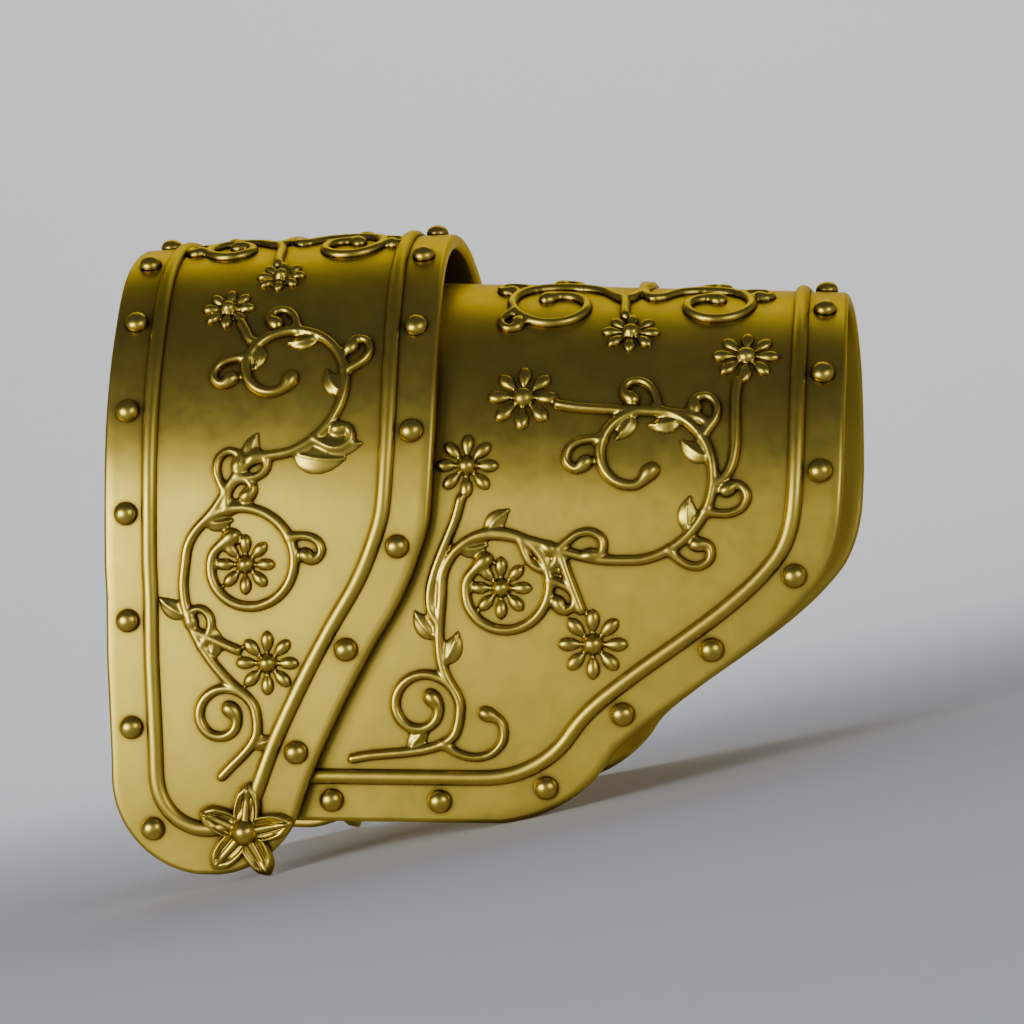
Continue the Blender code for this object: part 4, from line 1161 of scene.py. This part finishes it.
@dataclass
class StarBoss:
    """The star flower on each lower tip of the shoulder plate."""

    shop: Workshop
    radius: float = 0.0160
    petals: int = 5
    heading: float = -84.0
    floor: float = 0.0019
    rim_rise: float = 0.0008
    rib_rise: float = 0.0009
    ball_radius: float = 0.0045
    ball_height: float = 0.0055
    rim_width: float = 0.00125
    rib_width: float = 0.00125
    groove_depth: float = 0.00028
    foot_depth: float = 0.0003
    petal_turns: tuple = (0.0, 5.0, 13.0, 20.6, 28.0, 33.0, 36.0)
    petal_shares: tuple = (1.0, 0.95, 0.857, 0.70, 0.575, 0.50, 0.46)
    spokes: int = 240
    rings: int = 44
    ball_rings: int = 14
    ball_share: float = 0.30
    ball_spread: float = 0.93

    @staticmethod
    def spot(armour: Armour) -> tuple[float, float]:
        """Centre of the front star flower on the developed shoulder plate."""
        return (armour.star_along * armour.shoulder_length,
                armour.star_down * armour.shoulder.drop)

    def outline(self, turn: np.ndarray) -> np.ndarray:
        """Radius of the flower at an angle from a petal's middle, in degrees."""
        return self.radius * np.interp(np.abs(turn), self.petal_turns, self.petal_shares)

    def height(self, r: np.ndarray, turn: np.ndarray, edge: np.ndarray) -> np.ndarray:
        """Height of the flower's face.

        Args:
            r: Distances from the centre.
            turn: Angles from the petal's middle, in degrees.
            edge: Radius of the outline at each angle.

        Returns:
            The lift at each place.
        """
        half_petal = self.petal_turns[-1]
        from_edge = (edge - r) * (0.55 + 0.25 * np.abs(turn) / half_petal)
        rim = np.clip(1.0 - np.abs(from_edge - self.rim_width) / (1.5 * self.rim_width),
                      0.0, 1.0)
        lift = self.floor + self.rim_rise * (3.0 * rim ** 2 - 2.0 * rim ** 3)
        bevel = np.clip(from_edge / self.rim_width, 0.0, 1.0)
        lift *= 0.55 + 0.45 * np.sqrt(1.0 - (1.0 - bevel) ** 2)
        off_rib = r * np.sin(np.radians(np.abs(turn)))
        along = np.clip((r / self.radius - 0.20) / 0.70, 0.0, 1.0)
        rib_width = self.rib_width * np.sqrt(np.clip(1.0 - along ** 2.6, 0.0, 1.0)) + 1e-6
        rib = np.clip(1.0 - (off_rib / rib_width) ** 2, 0.0, 1.0) ** 0.5
        rib[along >= 1.0] = 0.0
        groove = np.exp(-((off_rib / rib_width - 1.25) / 0.30) ** 2) * (along < 1.0)
        lift += self.rib_rise * rib - self.groove_depth * groove
        ball = np.clip(1.0 - (r / self.ball_radius) ** 2, 0.0, 1.0) ** 0.5
        return np.maximum(lift, self.ball_height * ball)

    def build(self) -> None:
        """Make both star flowers."""
        armour = self.shop.armour
        x, v = self.spot(armour)
        pitch = 360.0 / self.petals
        angles = np.linspace(0.0, 360.0, self.spokes, endpoint=False)
        turn = (angles + 0.5 * pitch) % pitch - 0.5 * pitch
        edge = self.outline(turn)
        inner = np.linspace(0.06, self.ball_share, self.ball_rings)
        outer = np.linspace(self.ball_share + 0.02, 1.0, self.rings - self.ball_rings)
        shares = np.concatenate((inner, outer))
        r = np.outer(shares, edge)
        ball = np.outer(inner, np.full(self.spokes, self.radius))
        blend = np.clip((shares - self.ball_share + 0.02) / self.ball_share, 0.0, 1.0)[:, None]
        r = (1.0 - blend) * shares[:, None] * self.radius * self.ball_spread + blend * r
        r[:self.ball_rings] = ball * self.ball_spread
        r = np.minimum(r, edge[None, :])
        lift = self.height(r, np.repeat(turn[None, :], len(shares), axis=0),
                           np.repeat(edge[None, :], len(shares), axis=0))
        r = np.concatenate((r, edge[None, :]))
        lift = np.concatenate((lift, np.full((1, self.spokes), -self.foot_depth)))
        for side in Side:
            way = np.radians(angles * side.value + self.heading * side.value)
            flat = np.stack((x + r * np.cos(way), side.value * v + r * np.sin(way), lift),
                            axis=2).reshape(-1, 3)
            centre = ((x, side.value * v, self.ball_height),
                      (x, side.value * v, -self.foot_depth))
            flat = np.concatenate((flat, centre))
            count, last = self.spokes, len(flat) - 3
            faces = []
            for i in range(count):
                j = (i + 1) % count
                faces.append((len(flat) - 2, i, j))
                for k in range(len(shares)):
                    faces.append((k * count + i, (k + 1) * count + i, (k + 1) * count + j,
                                  k * count + j))
                base = last - count + 1
                faces.append((len(flat) - 1, base + j, base + i))
            node = f"star_boss_{side.word}"
            mesh = self.shop.mesh(node, armour.shoulder.points(flat), faces)
            self.shop.add(f"{node}_flower", mesh, Slot.POLISHED, node)


@dataclass
class Vine:
    """The strands of a vine scroll on one plate, and the leaves and flowers on them."""

    arch: Arch
    volutes: tuple
    links: tuple = ()
    roots: tuple = ()
    sprigs: tuple = ()
    leaves: tuple = ()
    blooms: tuple = ()
    coarse_step: float = 0.0085
    coarse_degrees: float = 26.0
    sprig_steps: int = 6

    def spot(self, row: Volute | Root | Bloom) -> tuple[float, float]:
        """Where a row of the vine lies on the developed plate."""
        return self.arch.start_x + row.along * self.arch.reach, row.down * self.arch.drop

    def joint(self, row: Sprig | Leaf | Bloom, strand: list) -> tuple[float, float, float]:
        """Where a shoot leaves its strand, and its heading there in radians."""
        index = round(row.at * (len(strand) - 1))
        x, v = strand[index]
        return x, v, self.heading(strand, index) + math.radians(row.swing)

    def spiral(self, row: Volute) -> list[tuple[float, float]]:
        """Points of a volute, from its outer end to its eye."""
        reach = self.arch.reach
        x, v = self.spot(row)
        points = []
        share = 0.0
        while share < 1.0:
            radius = reach * row.radius * (row.eye / row.radius) ** (share ** 1.25)
            angle = math.radians(row.start + row.sweep * share)
            points.append((x + radius * math.cos(angle), v + radius * math.sin(angle)))
            step = min(math.radians(self.coarse_degrees), self.coarse_step / radius)
            share += step / math.radians(abs(row.sweep))
        angle = math.radians(row.start + row.sweep)
        radius = reach * row.eye
        points[-1] = (x + radius * math.cos(angle), v + radius * math.sin(angle))
        return points

    @staticmethod
    def heading(path: list, index: int) -> float:
        """Direction of a path at one of its points, in radians."""
        before = path[max(index - 1, 0)]
        after = path[min(index + 1, len(path) - 1)]
        return math.atan2(after[1] - before[1], after[0] - before[0])

    def stem(self, start: tuple, leave: float, end: tuple, arrive: float) -> list:
        """A smooth run between two points that keeps the heading at both ends."""
        reach = math.hypot(end[0] - start[0], end[1] - start[1])
        steps = 2 * math.ceil(0.6 * reach / self.coarse_step) + 1
        points = []
        for i in range(steps + 1):
            t = i / steps
            weights = (2 * t ** 3 - 3 * t * t + 1, t ** 3 - 2 * t * t + t,
                       3 * t * t - 2 * t ** 3, t ** 3 - t * t)
            points.append(tuple(
                weights[0] * start[k] + weights[1] * reach * (math.cos, math.sin)[k](leave)
                + weights[2] * end[k] + weights[3] * reach * (math.cos, math.sin)[k](arrive)
                for k in (0, 1)))
        return points

    def shoot(self, row: Sprig, strand: list) -> list:
        """Points of a side shoot that curls up at its end."""
        x, v, start = self.joint(row, strand)
        step = row.length * self.arch.reach / self.sprig_steps
        points = [(x, v)]
        for i in range(self.sprig_steps):
            share = (i + 0.5) / self.sprig_steps
            angle = start + math.radians(row.bend * share + row.curl * share * share)
            x += step * math.cos(angle)
            v += step * math.sin(angle)
            points.append((x, v))
        return points

    def strands(self) -> dict[str, list]:
        """Every strand of the vine, by name."""
        found = {row.name: self.spiral(row) for row in self.volutes}
        for row in self.links:
            path = found[row.leaves]
            index = round(row.at * (len(path) - 1))
            target = found[row.joins]
            found[row.name] = self.stem(path[index], self.heading(path, index), target[0],
                                        self.heading(target, 0))
        for row in self.roots:
            target = found[row.joins]
            found[row.name] = self.stem(self.spot(row), math.radians(row.heading), target[0],
                                        self.heading(target, 0))
        for number, row in enumerate(self.sprigs):
            found[f"sprig_{number}"] = self.shoot(row, found[row.strand])
        return found

    def ties(self) -> dict[str, list]:
        """Stems over the crown that tie the front volutes to their mirror images."""
        found = {}
        for row in self.volutes:
            path = self.spiral(row)
            (x, v), heading = path[0], self.heading(path, 0)
            found[f"tie_{row.name}"] = self.stem((x, v), heading + math.pi, (x, -v), -heading)
        middles = []
        for path in found.values():
            half = len(path) // 2
            middles.append(0.5 * (path[half - 1][0] + path[half][0]))
        found["spine"] = [(middles[0] + (middles[1] - middles[0]) * i / 4, 0.0)
                          for i in range(5)]
        return found


@dataclass
class Scroll:
    """The raised work of one panel: strands, leaves and daisies fused into one casting."""

    shop: Workshop
    node: str
    vine: Vine
    signs: tuple[float, ...]
    over_crown: bool = False
    half_width: float = 0.00175
    height: float = 0.0022
    sunk: float = 0.0004
    voxel: float = 0.0005
    step: float = 0.0010
    facets: int = 10
    thin_shoot: float = 0.86
    base_share: float = 0.55
    bulb: float = 0.0025
    bulb_swell: float = 0.62
    joint_reach: float = 0.0022
    joint_swell: float = 0.30
    leaf_points: int = 16
    leaf_bend: float = 0.5
    leaf_half_width: float = 0.26
    petals: int = 8
    petal_points: int = 14
    petal_start: float = 0.30
    petal_length: float = 0.68
    petal_half_width: float = 0.175
    eye_share: float = 0.30
    eye_height: float = 0.0032
    parts: list = field(default_factory=list)

    def stroke(self, path: np.ndarray, half_widths: np.ndarray, heights: np.ndarray) -> None:
        """Add one swept strand to the panel."""
        self.parts.append(swept(path, half_widths, heights, self.sunk, self.facets, True))

    def strand(self, name: str, points: list, sign: float) -> None:
        """Draw one strand with a bulb at its free end."""
        path = rounded([(x, sign * v) for x, v in points], self.step)
        run = np.linspace(0.0, 1.0, len(path))
        length = len(path) * self.step
        left = (1.0 - run) * length
        shoots = name.startswith("sprig")
        size = np.full(len(path), self.thin_shoot if shoots else 1.0)
        curls = not name.startswith(("tie", "spine")) and "stem" not in name and name != "foot"
        if curls:
            size += self.bulb_swell * np.exp(-((left - 0.3 * self.bulb) / self.bulb) ** 2)
        if shoots:
            size += self.joint_swell * np.exp(-(run * length / self.joint_reach) ** 2)
        rise = self.base_share + (1.0 - self.base_share) * size
        self.stroke(path, self.half_width * size, self.height * rise)

    def leaf(self, row: Leaf, strands: dict, sign: float) -> None:
        """Draw a pointed leaf with a raised midrib."""
        x, v, angle = self.vine.joint(row, strands[row.strand])
        length = row.length * self.vine.arch.reach
        share = np.linspace(0.0, 1.0, self.leaf_points)
        bend = angle - math.copysign(self.leaf_bend, row.swing) * share
        px = x + np.cumsum(np.cos(bend)) * length / self.leaf_points
        pv = v + np.cumsum(np.sin(bend)) * length / self.leaf_points
        path = np.stack((px, sign * pv), axis=1)
        body = np.sin(np.pi * share ** 0.8) ** 0.8
        self.stroke(path, 0.0004 + self.leaf_half_width * length * body,
                    0.0003 + 0.0011 * body)
        self.stroke(path, 0.0006 + 0.0002 * body, 0.0010 + 0.0009 * body)

    def rosette(self, x: float, v: float, radius: float, sign: float) -> None:
        """Draw a daisy of solid, round-ended petals round a domed eye."""
        share = np.linspace(0.0, 1.0, self.petal_points)
        body = np.sin(np.pi * share ** 1.3) ** 0.6
        for petal in range(self.petals):
            way = 2.0 * math.pi * petal / self.petals - sign * math.pi / 2.0
            out = radius * (self.petal_start + self.petal_length * share)
            path = np.stack((x + out * math.cos(way), v + out * math.sin(way)), axis=1)
            self.stroke(path, 0.0003 + self.petal_half_width * radius * body,
                        0.0005 + 0.0013 * body)
        ball = np.linspace(-1e-5, 1e-5, 3)
        core = np.stack((x + ball, np.full(3, v)), axis=1)
        self.stroke(core, np.full(3, self.eye_share * radius), np.full(3, self.eye_height))

    def bloom(self, row: Bloom, strands: dict, sign: float) -> None:
        """Draw a flower and the stem that carries it."""
        from_x, from_v, leave = self.vine.joint(row, strands[row.strand])
        x, v = self.vine.spot(row)
        radius = row.radius * self.vine.arch.reach
        way = math.atan2(v - from_v, x - from_x)
        end = (x - radius * math.cos(way), v - radius * math.sin(way))
        self.strand("bloom_stem", self.vine.stem((from_x, from_v), leave, end, way), sign)
        self.rosette(x, sign * v, radius, sign)

    def draw(self) -> None:
        """Draw everything on the panel."""
        vine = self.vine
        strands = vine.strands()
        if self.over_crown:
            for name, points in vine.ties().items():
                self.strand(name, points, 1.0)
        for sign in self.signs:
            for name, points in strands.items():
                self.strand(name, points, sign)
            for row in vine.leaves:
                self.leaf(row, strands, sign)
            for row in vine.blooms:
                self.bloom(row, strands, sign)
            for row in vine.volutes:
                if row.rosette:
                    x, v = vine.spot(row)
                    self.rosette(x, sign * v, row.rosette * vine.arch.reach, sign)

    def fused(self) -> tuple[np.ndarray, list]:
        """Fuse the strokes into one body on the developed surface.

        Returns:
            Rows of x, developed length and lift, and the faces.
        """
        verts, faces, start = [], [], 0
        for spots, quads in self.parts:
            verts.append(spots)
            faces += [tuple(i + start for i in face) for face in quads]
            start += len(spots)
        mesh = bpy.data.meshes.new(f"{self.node}_strokes")
        mesh.from_pydata([tuple(p) for p in np.concatenate(verts)], [], faces)
        strokes = bpy.data.objects.new(f"{self.node}_strokes", mesh)
        bpy.context.scene.collection.objects.link(strokes)
        join = strokes.modifiers.new("fuse", "REMESH")
        join.mode = "VOXEL"
        join.voxel_size = self.voxel
        soften = strokes.modifiers.new("soften", "SMOOTH")
        soften.factor = 0.5
        soften.iterations = 3
        view = bpy.context.evaluated_depsgraph_get()
        body = bpy.data.meshes.new_from_object(strokes.evaluated_get(view))
        spots = np.empty(len(body.vertices) * 3)
        body.vertices.foreach_get("co", spots)
        quads = [tuple(face.vertices) for face in body.polygons]
        bpy.data.objects.remove(strokes)
        bpy.data.meshes.remove(mesh)
        bpy.data.meshes.remove(body)
        return spots.reshape(-1, 3), quads

    def build(self) -> None:
        """Draw, fuse and dress the panel."""
        self.draw()
        spots, faces = self.fused()
        mesh = self.shop.mesh(self.node, self.vine.arch.points(spots), faces)
        self.shop.add(f"{self.node}_relief", mesh, Slot.RELIEF, self.node)


@dataclass
class Softbox:
    """A plain soft studio lamp."""

    name: str
    place: tuple[float, float, float]
    aim: tuple[float, float, float]
    width: float
    height: float
    power: float

    def build(self) -> None:
        """Hang the lamp and point it at its aim."""
        data = bpy.data.lights.new(self.name, "AREA")
        data.shape = "RECTANGLE"
        data.size = self.width
        data.size_y = self.height
        data.energy = self.power
        lamp = bpy.data.objects.new(self.name, data)
        bpy.context.scene.collection.objects.link(lamp)
        lamp.location = self.place
        way = Vector(self.aim) - Vector(self.place)
        lamp.rotation_mode = "QUATERNION"
        lamp.rotation_quaternion = way.to_track_quat("-Z", "Y")


LAMPS = (
    Softbox("key_left", (-0.9, -1.3, 0.28), (0.0, 0.0, 0.06), 0.9, 0.7, 21.0),
    Softbox("fill_right", (1.1, -1.2, 0.22), (0.0, 0.0, 0.06), 0.8, 0.6, 6.5),
    Softbox("back_top", (0.1, 0.9, 1.2), (0.0, 0.0, 0.12), 1.4, 0.5, 2.4),
    Softbox("sweep_wash", (0.0, 0.7, 1.6), (0.0, 2.1, 1.0), 2.4, 0.6, 34.0),
)


@dataclass
class Studio:
    """The pale floor that sweeps up behind, the lamps, the dim room and the camera."""

    armour: Armour
    distance: float = 1.215
    swing: float = 8.0
    rise: float = 0.8
    centre_x: float = 0.1187
    focal_pixels: float = 3646.0
    pixels: float = 1024.0
    sensor: float = 36.0
    floor_half: float = 3.0
    sweep_start: float = 1.2
    sweep_radius: float = 1.0
    sweep_top: float = 3.2
    sweep_steps: int = 24

    def backdrop(self) -> None:
        """Lay the pale floor and sweep it up behind the armour."""
        run = [(-self.floor_half, 0.0), (self.sweep_start, 0.0)]
        for i in range(1, self.sweep_steps + 1):
            turn = math.pi / 2.0 * i / self.sweep_steps
            run.append((self.sweep_start + self.sweep_radius * math.sin(turn),
                        self.sweep_radius * (1.0 - math.cos(turn))))
        run.append((self.sweep_start + self.sweep_radius, self.sweep_top))
        verts = [(side * self.floor_half, y, z) for y, z in run for side in (-1.0, 1.0)]
        faces = [(2 * i, 2 * i + 1, 2 * i + 3, 2 * i + 2) for i in range(len(run) - 1)]
        mesh = bpy.data.meshes.new("studio_floor")
        mesh.from_pydata(verts, [], faces)
        mesh.shade_smooth()
        mesh.materials.append(self.paper())
        floor = bpy.data.objects.new("studio_floor", mesh)
        bpy.context.scene.collection.objects.link(floor)

    @staticmethod
    def paper() -> bpy.types.Material:
        """Pale matt paper with a faint tooth."""
        made = bpy.data.materials.new("pale_paper")
        made.use_nodes = True
        tree = made.node_tree
        shader = tree.nodes["Principled BSDF"]
        shader.inputs["Roughness"].default_value = 0.85
        shader.inputs["Specular IOR Level"].default_value = 0.2
        place = tree.nodes.new("ShaderNodeTexCoord").outputs["Object"]
        tooth = GiltFinish.noise(tree, place, 160.0, 3.0, 0.6)
        colour = GiltFinish.mix(tree, tooth, (0.68, 0.68, 0.67), (0.72, 0.72, 0.71))
        tree.links.new(colour, shader.inputs["Base Color"])
        return made

    @staticmethod
    def room() -> None:
        """Surround the set with a dim room that is darker and bluish overhead."""
        world = bpy.data.worlds.new("dim_room")
        world.use_nodes = True
        bpy.context.scene.world = world
        tree = world.node_tree
        back = tree.nodes["Background"]
        back.inputs["Strength"].default_value = 1.0
        place = tree.nodes.new("ShaderNodeTexCoord").outputs["Generated"]
        split = tree.nodes.new("ShaderNodeSeparateXYZ")
        tree.links.new(place, split.inputs["Vector"])
        up = GiltFinish.remap(tree, split.outputs["Z"], 0.0, 0.52, 0.0, 1.0)
        colour = GiltFinish.mix(tree, up, (0.36, 0.36, 0.36), (0.090, 0.092, 0.170))
        tree.links.new(colour, back.inputs["Color"])

    def camera(self) -> None:
        """Set the camera at the photograph's angle to the armour."""
        data = bpy.data.cameras.new("camera")
        data.lens = self.focal_pixels / self.pixels * self.sensor
        data.sensor_width = self.sensor
        data.clip_start, data.clip_end = 0.05, 20.0
        camera = bpy.data.objects.new("camera", data)
        bpy.context.scene.collection.objects.link(camera)
        turn, rise = math.radians(self.swing), math.radians(self.rise)
        right = Vector((math.cos(turn), math.sin(turn), 0.0))
        back = Vector((math.sin(turn) * math.cos(rise), -math.cos(turn) * math.cos(rise),
                       math.sin(rise)))
        up = back.cross(right)
        spot = Vector((self.centre_x, 0.0, 0.0)) + self.distance * back
        camera.matrix_world = self.armour.matrix @ (
            Matrix.Translation(spot) @ Matrix((right, up, back)).transposed().to_4x4())
        bpy.context.scene.camera = camera

    def build(self) -> None:
        """Set the whole studio up."""
        self.backdrop()
        self.room()
        self.camera()
        for lamp in LAMPS:
            lamp.build()


def main() -> None:
    """Dress the armour, piece by piece, and set up the studio."""
    logging.basicConfig(level=logging.INFO, format="%(name)s: %(message)s")
    armour = Armour()
    shop = Workshop(armour)
    Plate(shop, "shoulder_plate", armour.shoulder, armour.neck_edge, armour.rim_edge,
          armour.shoulder_wall).build()
    Plate(shop, "arm_plate", armour.arm, armour.hidden_edge, armour.elbow_edge,
          armour.arm_wall).build()
    Beads(shop).build()
    Rivets(shop).build()
    StarBoss(shop).build()
    shoulder_vine = Vine(armour.shoulder, SHOULDER_VOLUTES, SHOULDER_LINKS, SHOULDER_ROOTS,
                         SHOULDER_SPRIGS, SHOULDER_LEAVES, SHOULDER_BLOOMS)
    arm_vine = Vine(armour.arm, ARM_VOLUTES, ARM_LINKS, ARM_ROOTS, ARM_SPRIGS, ARM_LEAVES,
                    ARM_BLOOMS)
    for plate, vine in (("shoulder", shoulder_vine), ("arm", arm_vine)):
        for side in Side:
            Scroll(shop, f"{plate}_scroll_{side.word}", vine, (side.value,)).build()
    for plate, vine in (
        ("shoulder", Vine(armour.shoulder, SHOULDER_CROWN_VOLUTES,
                          sprigs=SHOULDER_CROWN_SPRIGS, blooms=SHOULDER_CROWN_BLOOMS)),
        ("arm", Vine(armour.arm, ARM_CROWN_VOLUTES, sprigs=ARM_CROWN_SPRIGS,
                     blooms=ARM_CROWN_BLOOMS)),
    ):
        Scroll(shop, f"{plate}_scroll_crown", vine, (1.0, -1.0), True).build()
    Studio(armour).build()


if __name__ == "__main__":
    main()
